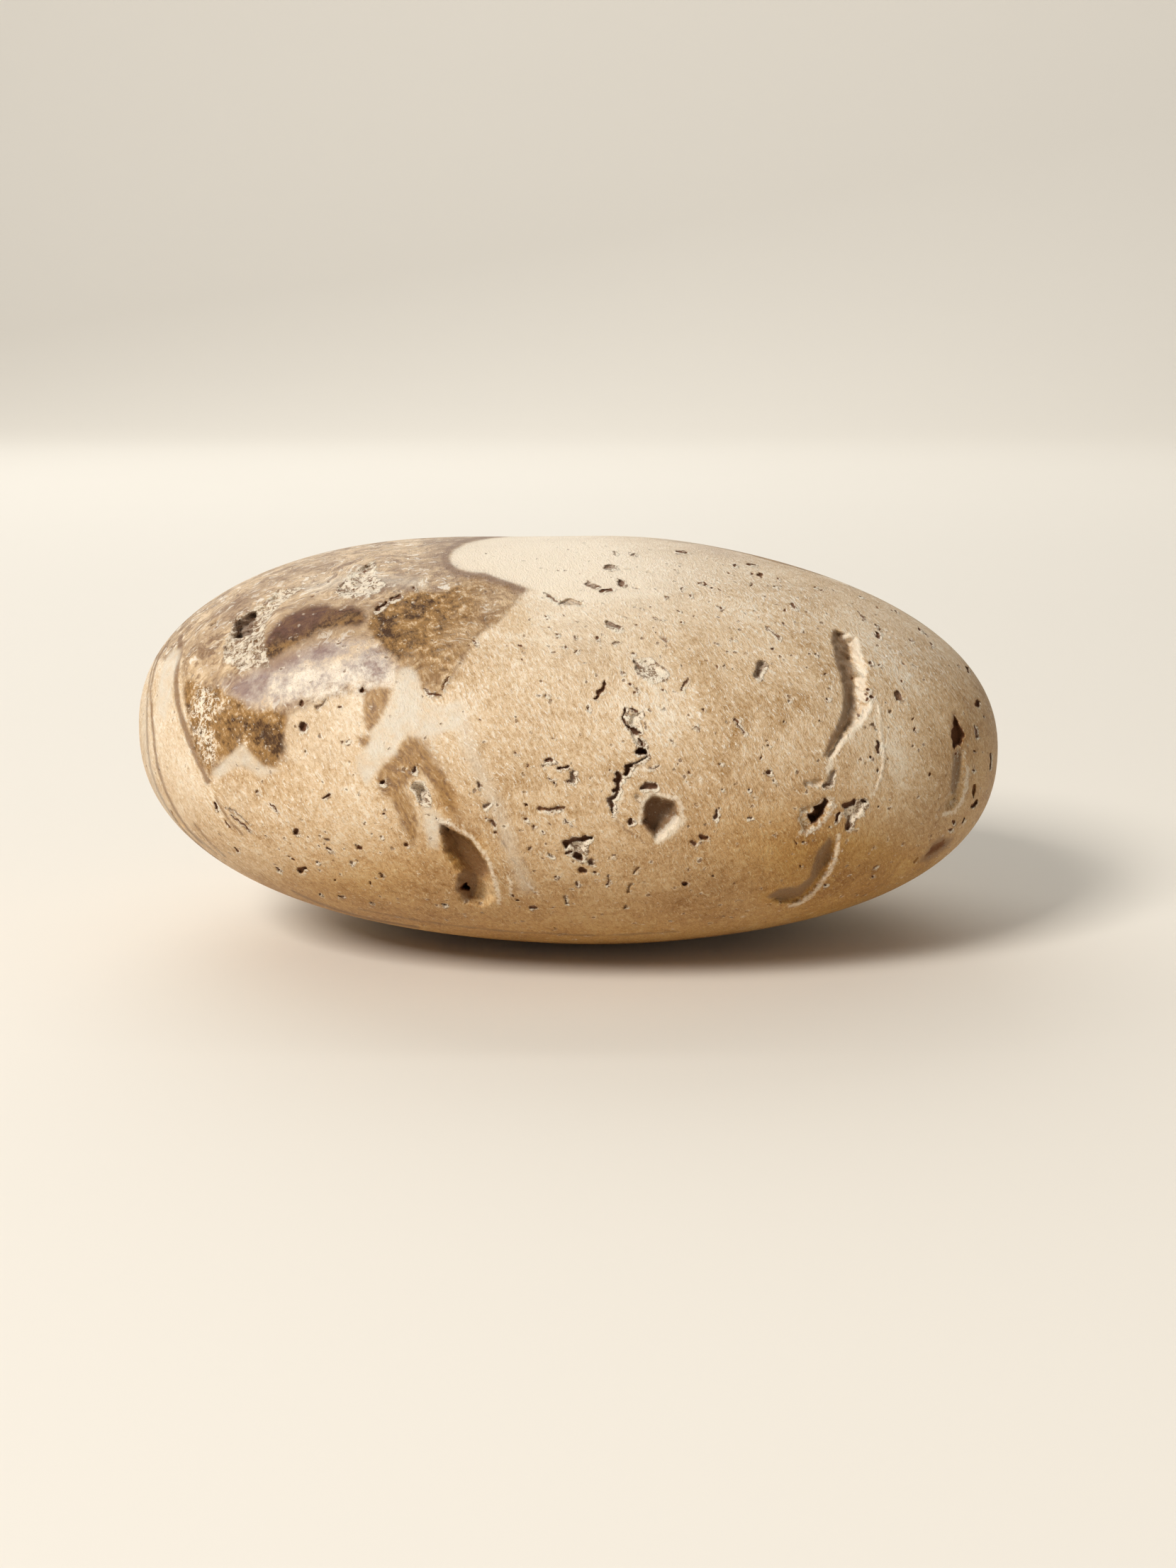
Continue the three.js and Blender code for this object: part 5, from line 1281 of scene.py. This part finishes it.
class CalciteFinish(Paint):
    """Polished calcite with its layers, crystals, flows, pores and crusts, and painted shade and
    highlights in its hollows.
    """

    def __init__(self, colours):
        self.material = bpy.data.materials.new("polished calcite")
        self.material.use_nodes = True
        self.material.node_tree.nodes.clear()
        super().__init__(self.material.node_tree, MM)
        self.tones = {name: tuple(getattr(colours, name)) for name in StoneColours.__annotations__}
        self.coarse = self.noise(0.13, 4.0, 0.55)
        self.medium = self.noise(0.7, 5.0, 0.62)
        self.fine = self.noise(2.6, 4.0, 0.68)
        self.tiny = self.noise(8.0, 2.0, 0.6)
        curls = self.math("SUBTRACT", self.noise(1.3, 3.0, 0.6, 1.4), 0.5)
        self.curls = self.span(self.math("ABSOLUTE", curls), 0.05, 0.02)

        # grain across the outer and the inner parts of the face
        outward, slant = self.attribute("outward"), self.attribute("slant")
        drift = self.math("MULTIPLY_ADD", self.coarse, 9.0, -4.5)
        self.flow = self.plus(outward, drift)
        rings = self.grained(1.0, 3.2, self.flow)
        slanting = self.grained(1.1, 3.4, self.plus(slant, (drift, 0.5)))
        outer = self.span(outward, 9.0, 13.0)
        self.threads = self.plus((rings, outer), (slanting, self.rest_of(outer)))
        self.flecks = self.grained(1.7, 5.2, slant, roughness=0.55)
        self.scuffs = self.grained(2.4, 8.5, self.plus(slant, (drift, 0.4)), roughness=0.55)

    def marking(self, name, soft, uneven, noise=None, shift=0.0):
        """Share of a marking, with an uneven border; sizes in mm."""
        wander = self.math("MULTIPLY_ADD", noise or self.medium, uneven, shift - uneven / 2)
        return self.span(self.plus(self.attribute(name), wander), -soft, soft)

    def ground(self):
        """Plain ground: clouds, streaks along the flow, and sandy grain."""
        streaks = self.grained(0.22, 0.8, self.flow, 3.0)
        clouds = self.plus(
            (self.coarse, 0.6), (streaks, 0.4), (self.fine, 0.6), (self.threads, 0.45),
            (self.flecks, 0.35), (self.tiny, 0.45), -0.915)
        ground = self.ramp(
            clouds, (0.20, "gold"), (0.40, "body"), (0.55, "body_light"), (0.75, "cream"))
        # creamy ground, and painted highlights on lit walls
        ground = self.tint(ground, "cream", self.span(self.attribute("light_tint"), 0, 1), 0.6)
        scuffed = self.attribute("scuffed_tint")
        lit = self.span(
            self.plus(self.flecks, (self.medium, 0.3), (scuffed, 0.09)), 0.75, 0.84)
        ground = self.tint(ground, "flow", lit, 0.45)
        bright = self.span(self.plus(self.scuffs, (scuffed, 0.05)), 0.60, 0.65)
        ground = self.tint(ground, "frost", bright, 0.7)
        ground = self.tint(ground, "gold", self.span(self.scuffs, 0.43, 0.36), 0.35)
        # darker, golden ground: real patches, and painted shade with a warm painted reflection low on the
        # stone and at the right end
        ground = self.tint(
            ground, (0.71, 0.51, 0.22), self.attribute("gold_tint"), kind="MULTIPLY")
        return self.tint(ground, "smoke", self.span(self.attribute("grey_tint"), 0, 1), 0.6)

    def behind_layers(self, ground):
        """Layers that run round behind the face."""
        x, y, _ = self.node("ShaderNodeSeparateXYZ", {0: self.place}).outputs
        layer = self.plus(y, (x, -0.22), (self.coarse, 10.0), (self.medium, 1.4))
        bands = self.ramp(
            self.span(layer, -6.0, 40.0, "LINEAR"),
            (0.00, "body"), (0.08, "body_light"), (0.12, "taupe"), (0.14, "cream"),
            (0.20, "body_light"), (0.235, "umber"), (0.25, "taupe"), (0.30, "cream"),
            (0.36, "body"), (0.42, "body_light"), (0.455, "taupe"), (0.47, "gold"),
            (0.53, "body"), (0.60, "cream"), (0.64, "taupe"), (0.66, "umber"),
            (0.68, "body_light"), (0.78, "body"), (0.84, "taupe"), (0.87, "cream"),
            (0.94, "body_light"), (1.00, "gold"))
        far = self.plus(
            self.attribute("behind"), (self.coarse, 14.0), (self.medium, 3.0), -11.0)
        return self.tint(ground, bands, self.span(far, 0.0, 4.0), 0.8)

    def layered(self, ground):
        """Brown and taupe layers, the cap beside them, and the thin lines between."""
        folds = self.grained(0.25, 1.3, self.flow, 3.0)
        layers = self.ramp(
            self.plus((folds, 1.1), (self.threads, 0.7), (self.fine, 0.4), -0.6),
            (0.33, "umber"), (0.45, "taupe"), (0.58, "body"), (0.70, "body_light"))
        rugged = self.marking("layered", 0.5, 1.4)
        ground = self.tint(ground, layers, rugged, 0.85)
        self.strands = self.grained(0.7, 4.2, self.flow)
        self.scratches_and_sheen = self.times(self.strands, rugged)
        # white streaks along the layers: real scratches, with painted sheen on their streaky relief
        ground = self.tint(ground, "frost", self.span(self.scratches_and_sheen, 0.57, 0.65), 0.65)
        ground = self.tint(ground, "umber", self.span(self.scratches_and_sheen, 0.43, 0.36), rugged, 0.6)
        ground = self.tint(ground, "umber", self.marking("brown_wash", 0.9, 1.0), 0.45)
        along = self.node("ShaderNodeSeparateXYZ", {0: self.place}).outputs[0]
        fading = self.span(self.plus(along, (self.medium, 12.0)), 24.0, 2.0)
        ground = self.tint(ground, "cream", self.marking("cap", 0.25, 0.5), fading, 0.75)
        ground = self.tint(ground, "umber", self.marking("brown_line", 0.15, 0.4), 0.8)
        return self.tint(ground, "flow", self.marking("pale_wash", 0.7, 0.8), 0.4)

    def smoky(self, ground):
        """Smoky calcite, its frost, and the purple-brown lens in it."""
        violet = self.attribute("violet_tint")
        smoke = self.ramp(
            self.plus((self.medium, 0.7), (self.fine, 0.4), (violet, -0.35), 0.03),
            (0.30, "violet"), (0.52, "smoke"), (0.68, "body_light"))
        ground = self.tint(ground, smoke, self.marking("smoke", 0.8, 2.2), 0.85)
        cloudy = self.plus(
            (self.medium, 0.6), (self.fine, 0.5), (violet, -0.2),
            (self.span(self.tiny, 0.40, 0.34), -0.2))
        ground = self.tint(
            ground, "frost", self.marking("frost", 0.9, 2.4), self.span(cloudy, 0.36, 0.72), 0.8)
        ground = self.tint(ground, "taupe", self.marking("lens", 0.8, 1.0, shift=0.8), 0.6)
        lens = self.ramp(
            self.plus((self.threads, 0.6), (self.medium, 0.6), (self.fine, 0.2),
                      (self.attribute("deep_tint"), -0.3), -0.2),
            (0.22, "crystal_dark"), (0.46, "lens"), (0.70, "umber"))
        amber = self.ramp(
            self.plus((self.threads, 0.6), (self.fine, 0.5), (self.flecks, 0.4), -0.25),
            (0.42, "crystal_dark"), (0.56, "crystal"), (0.78, "gold"))
        lens = self.tint(lens, amber, self.attribute("amber_tint"))
        self.lens = self.marking("lens", 0.35, 0.9)
        return self.tint(ground, lens, self.lens, 0.93)

    def crystals(self, ground):
        """Brown crystals with bright flecks, partly painted glints, and brown streaked ground."""
        deep, fair = self.attribute("deep_tint"), self.attribute("fair_tint")
        shade = self.plus(
            (self.noise(1.1, 5.0, 0.72), 1.6), (self.flecks, 0.5), (deep, -0.30),
            (fair, -0.06), -0.50)
        crystal = self.ramp(
            shade, (0.22, "crystal_dark"), (0.42, "crystal"), (0.60, "gold"),
            (0.80, "body_light"))
        glitter = self.plus(
            self.fine, (self.tiny, 0.3), (self.medium, 0.3), (self.flecks, 0.3), (fair, 0.16))
        # bright flecks, and painted glints of the crystals
        flecks_and_glints = self.math(
            "MAXIMUM", self.span(glitter, 1.08, 1.18),
            self.times(self.curls, self.span(fair, 0.3, 0.8), self.span(self.fine, 0.38, 0.5)))
        crystal = self.tint(crystal, "chalk", flecks_and_glints, 0.85)
        crystal = self.tint(crystal, "crystal_dark", self.span(glitter, 0.95, 0.85), fair, 0.7)
        whole = self.rest_of(self.attribute("faded_tint"))
        self.druzy = self.times(self.marking("druzy", 0.3, 1.2), whole)
        ground = self.tint(ground, crystal, self.druzy, 0.95)
        dim = self.ramp(
            self.plus(self.threads, (self.fine, 0.5), -0.25),
            (0.34, "umber"), (0.55, "gold"), (0.78, "body"))
        return self.tint(ground, dim, self.marking("streaked", 0.3, 0.9), 0.87)

    def flows(self, ground):
        """Off-white flows and the cream block beside them."""
        ground = self.tint(ground, "cream", self.marking("block", 0.35, 0.7), 0.15)
        white = self.ramp(self.medium, (0.40, "flow"), (0.75, "body_light"))
        return self.tint(ground, white, self.marking("flow", 0.3, 0.7), 0.75)

    def specks(self, ground):
        """Pinholes, pale crumbs and sandy grain all over."""
        shake = self.node("ShaderNodeTexNoise", {
            "Vector": self.place, "Scale": 2.0, "Detail": 1.0}).outputs[1]
        shaken = self.node("ShaderNodeVectorMath", {
            0: shake, 1: (0.5, 0.5, 0.5), 2: self.place}, operation="MULTIPLY_ADD").outputs[0]
        spots = self.cells(shaken, 0.95)
        here = self.span(self.medium, 0.44, 0.6)
        rims = self.times(self.span(spots, 0.30, 0.20), here, self.span(self.fine, 0.45, 0.6))
        ground = self.tint(ground, "chalk", rims, 0.6)
        self.pinholes = self.times(self.span(spots, 0.17, 0.10), here)
        ground = self.tint(ground, "umber", self.pinholes, 0.8)
        crumbs = self.span(self.cells(shaken, 1.7), 0.13, 0.06)
        bare = self.rest_of(self.plus(self.lens, self.druzy))
        ground = self.tint(ground, "flow", crumbs, bare, 0.4)
        sand = self.span(self.plus(self.tiny, (self.fine, 0.5)), 0.84, 1.02)
        return self.tint(ground, "umber", sand, 0.35)

    def hollows(self, ground):
        """Crusts with painted highlights, painted shade in the hollows and on their floors, and pale
        lines with painted highlights on lit walls.
        """
        crust, dark = self.attribute("crust"), self.attribute("dark")
        break_up = self.math("MULTIPLY_ADD", self.fine, 1.6, -0.8)
        # painted shade on the floors of hollows, in grey-brown
        ground = self.tint(ground, "ash", self.marking("ash", 0.2, 0.5), 0.8)
        # painted shade in the hollows, partly their own dark brown
        ground = self.tint(ground, "umber", self.marking("recess", 0.35, 0.3), 0.75)
        # pale lines, and painted highlights on lit walls of the hollows
        line = self.marking("pale_line", 0.16, 0.8, self.fine)
        ground = self.tint(ground, "chalk", line, 0.6)
        # pale crust, with its painted highlight on the lower right of the hollows
        self.crumbly = self.span(self.plus(crust, break_up), 0.3, 0.75)
        ground = self.tint(ground, "chalk", self.crumbly, 0.8)
        ragged = self.plus((self.fine, 0.5), (self.strands, 0.8), (self.curls, 0.12))
        gaps = self.times(self.span(crust, 0.35, 0.6), self.span(ragged, 0.66, 0.60))
        ground = self.tint(ground, "umber", gaps, 0.8)
        # painted shade on the floors of deep hollows and pits, brown and near black
        floors = self.span(self.plus(dark, (break_up, 0.5)), 0.15, 0.85)
        ground = self.tint(ground, "pit", floors, 0.93)
        return self.tint(ground, "crystal_dark", self.span(dark, 0.85, 1.0), 0.5)

    def finish(self):
        """The finished material."""
        ground = self.ground()
        for step in (self.behind_layers, self.layered, self.smoky, self.crystals, self.flows,
                     self.specks, self.hollows):
            ground = step(ground)
        dull = self.plus(
            (self.crumbly, 0.4), (self.druzy, 0.35), (self.lens, 0.3),
            (self.attribute("dark"), 0.5))
        polish = self.math("MULTIPLY_ADD", self.fine, 0.25, 0.36)
        relief = self.plus(
            (self.fine, 0.5), (self.threads, 0.3), (self.flecks, 0.25), (self.scuffs, 0.7),
            (self.tiny, 0.3), (self.scratches_and_sheen, 0.9), (self.pinholes, -1.6),
            self.times(self.crumbly, self.tiny, 1.5))
        bump = self.node(
            "ShaderNodeBump", {"Strength": 0.6, "Distance": 0.00025, "Height": relief})
        shader = self.node("ShaderNodeBsdfPrincipled", {
            "Base Color": ground, "Roughness": self.math("ADD", polish, dull, clamp=True),
            "Normal": bump.outputs[0], "IOR": 1.5, "Specular IOR Level": 0.25,
            "Subsurface Weight": 0.08, "Subsurface Radius": (1.0, 0.6, 0.35),
            "Subsurface Scale": 0.0007})
        self.node("ShaderNodeOutputMaterial", {0: shader.outputs[0]})
        return self.material


# ------------------------------------------------------------------ the stone

RIM_PLACE = 7.0  # where the rim of the face lies in front of the stone's middle, in mm
INNER_GRAIN = (0.86, 0.5)  # the way across the slanting grain of the inner face


def behind(places):
    """How far places lie behind the rim of the face, in mm."""
    return RIM_PLACE - on_chart(places, "face")[1]


def grain_ways(places):
    """How far out places lie across the outer and the inner grain, in mm."""
    chart, _ = on_chart(places, "face")
    right, up = chart.T
    half_length, _, half_height = HALF_SIZES
    oval = np.hypot(right / half_length, up / half_height)
    return half_height * oval, INNER_GRAIN[0] * right + INNER_GRAIN[1] * up


def seat(places, ovoid, shape):
    """Sets places in mm on the ground, in the CAD's frame and inside the CAD's box, in metres."""
    directions, _ = ball(level=6)
    plain = ovoid.places(directions)
    low, high = plain.min(axis=0), plain.max(axis=0)
    middle = (low + high) / 2
    ground = low[2] + shape.foot_trim / MM
    seated = (places - (middle[0], middle[1], ground)) * MM
    seated[:, 2] = np.maximum(seated[:, 2], 0)
    found_low, found_high = seated.min(axis=0), seated.max(axis=0)
    wanted_low, wanted_high = np.array(cad_low), np.array(cad_high)
    squeeze = np.minimum((wanted_high - wanted_low) / (found_high - found_low), 1)
    seated = (seated - found_low) * squeeze + found_low
    return seated + (wanted_low + wanted_high - seated.min(axis=0) - seated.max(axis=0)) / 2


class PALM_OT_stone(bpy.types.Operator):
    """Makes the palm stone, with its hollows, pores and markings"""

    bl_idname = "palm.stone"
    bl_label = "Make the stone"

    def execute(self, context):
        scene = context.scene
        ovoid = Ovoid(scene.stone_shape)
        pores = scattered_pores(ovoid, scene.stone_surface)
        surface_of = Surface(pores, scene.stone_surface)
        directions, places, triangles = net(ovoid, surface_of, scene.stone_surface)
        if len(triangles) >= MOST_TRIANGLES:
            raise RuntimeError(f"The stone has {len(triangles)} triangles, too many.")
        hollows = surface_of.hollows(places)
        finish = CalciteFinish(scene.stone_colours).finish()
        mesh = ovoid.mesh(directions, triangles, Material=finish)
        carved = seat(places + hollows["sunk"], ovoid, scene.stone_shape)
        mesh.vertices.foreach_set("co", carved.astype(np.float32).ravel())
        outward, slant = grain_ways(places)
        values = {
            "dark": hollows["dark"], "crust": hollows["crust"], **surface_of.markings(places),
            **surface_of.tints(places), "behind": behind(places), "outward": outward,
            "slant": slant,
        }
        for name, value in values.items():
            layer = mesh.attributes.new(name, "FLOAT", "POINT")
            layer.data.foreach_set("value", value.astype(np.float32))
        mesh.shade_smooth()
        mesh.update()
        stone = bpy.data.objects.new("polished_palm_stone", mesh)
        scene.collection.objects.link(stone)
        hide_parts(NODE)
        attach(stone, BODY)
        return {"FINISHED"}


# ------------------------------------------------------------------ the stage

# The lights: name, setting, place, aim, width and height in metres, and colour.
AIM = (0, 0, 0.018)
LIGHTS = [
    ("window", "key", (-0.5, -0.62, 0.62), AIM, 0.3, 0.3, (1, 0.99, 0.97)),
    ("fill", "fill", (0.5, -0.8, 0.12), AIM, 0.8, 0.4, (1, 0.95, 0.88)),
    ("behind", "rim", (-0.3, 0.7, 0.6), AIM, 1.0, 0.6, (0.93, 0.97, 1)),
    ("backdrop", "backdrop", (0, 0.6, 1.2), (0, 1.5, 0.4), 2.0, 0.5, (0.97, 0.99, 1)),
]
SKY_TONE = (1, 0.99, 0.97, 1)
CAMERA_PLACE = (0.00176, -0.20997, 0.05664)
CAMERA_DIP = math.radians(11.6)  # how far the camera looks down


def area_light(name, power, place, aim, width, height, tone):
    """A soft rectangular light at a place in metres, turned to what it aims at."""
    data = bpy.data.lights.new(name, "AREA")
    data.shape = "RECTANGLE"
    data.size = width
    data.size_y = height
    data.energy = power
    data.color = tone
    light = bpy.data.objects.new(name, data)
    light.location = place
    way = np.subtract(aim, place)
    across = math.hypot(way[0], way[1])
    light.rotation_euler = (
        math.atan2(across, -way[2]), 0, math.atan2(way[1], way[0]) - math.pi / 2)
    bpy.context.scene.collection.objects.link(light)


class PALM_OT_stage(bpy.types.Operator):
    """Makes the pale floor and backdrop, the soft lights and the camera"""

    bl_idname = "palm.stage"
    bl_label = "Set the stage"

    def execute(self, context):
        settings = context.scene.stage_settings
        self.floor(context.scene, settings)
        self.lights(context.scene, settings)
        self.camera(context.scene, settings)
        return {"FINISHED"}

    def floor(self, scene, settings):
        """A floor that curves up into a backdrop."""
        half_width = 6.0
        front = -6.0
        bend = 0.9
        radius = 0.6
        top = 3.0
        steps = 16
        profile = [(front, 0.0), (bend, 0.0)]
        for step in range(1, steps + 1):
            angle = step / steps * math.pi / 2
            profile.append((bend + radius * math.sin(angle), radius * (1 - math.cos(angle))))
        profile.append((bend + radius, top))
        vertices = [(side * half_width, y, z) for side in (-1, 1) for y, z in profile]
        count = len(profile)
        faces = [(i, count + i, count + i + 1, i + 1) for i in range(count - 1)]
        mesh = bpy.data.meshes.new("studio_floor")
        mesh.from_pydata(vertices, [], faces)
        mesh.shade_smooth()
        paper = bpy.data.materials.new("pale paper")
        paper.use_nodes = True
        make = Paint(paper.node_tree, unit=1)
        shader = paper.node_tree.nodes["Principled BSDF"]
        tone = tuple(settings.floor)
        darker = tuple(0.9 * share for share in tone)
        shade = make.tint(tone, darker, make.noise(9.0, 3.0), 0.15)
        make.feed(shader.inputs["Base Color"], shade)
        shader.inputs["Roughness"].default_value = 0.75
        mesh.materials.append(paper)
        floor = bpy.data.objects.new("studio_floor", mesh)
        scene.collection.objects.link(floor)

    def lights(self, scene, settings):
        """A large window from the upper left, soft fill, and light from behind."""
        for name, setting, *form in LIGHTS:
            area_light(name, getattr(settings, setting), *form)
        world = bpy.data.worlds.new("soft room")
        world.use_nodes = True
        sky = world.node_tree.nodes["Background"]
        sky.inputs[0].default_value = SKY_TONE
        sky.inputs[1].default_value = settings.sky
        scene.view_settings.view_transform = "Standard"
        scene.world = world

    def camera(self, scene, settings):
        """The view of the face, from slightly above."""
        data = bpy.data.cameras.new("camera")
        data.sensor_fit = "VERTICAL"
        data.sensor_height = 36
        data.lens = settings.focal_length
        data.clip_start = 0.01
        camera = bpy.data.objects.new("camera", data)
        camera.location = CAMERA_PLACE
        camera.rotation_euler = (math.pi / 2 - CAMERA_DIP, 0, 0)
        scene.collection.objects.link(camera)
        scene.camera = camera


class PALM_PT_panel(bpy.types.Panel):
    """Lists the steps that make the palm stone"""

    bl_idname = "PALM_PT_panel"
    bl_label = "Palm stone"
    bl_space_type = "VIEW_3D"
    bl_region_type = "UI"
    bl_category = "Palm stone"

    def draw(self, context):
        for setting in SETTINGS:
            group = getattr(context.scene, setting)
            box = self.layout.box()
            for name in group.__annotations__:
                box.prop(group, name)
        self.layout.operator(PALM_OT_stone.bl_idname)
        self.layout.operator(PALM_OT_stage.bl_idname)


SETTINGS = {
    "stone_shape": StoneShape,
    "stone_surface": StoneSurface,
    "stone_colours": StoneColours,
    "stage_settings": StageSettings,
}
CLASSES = (*SETTINGS.values(), PALM_OT_stone, PALM_OT_stage, PALM_PT_panel)


def register():
    """Adds the settings, the operators and the panel."""
    for each in CLASSES:
        bpy.utils.register_class(each)
    for name, group in SETTINGS.items():
        setattr(bpy.types.Scene, name, bpy.props.PointerProperty(type=group))


def unregister():
    """Takes the settings, the operators and the panel away."""
    for name in SETTINGS:
        delattr(bpy.types.Scene, name)
    for each in reversed(CLASSES):
        bpy.utils.unregister_class(each)


def main():
    """Makes the stone and its stage."""
    register()
    bpy.ops.palm.stage()
    bpy.ops.palm.stone()


if __name__ == "__main__":
    main()
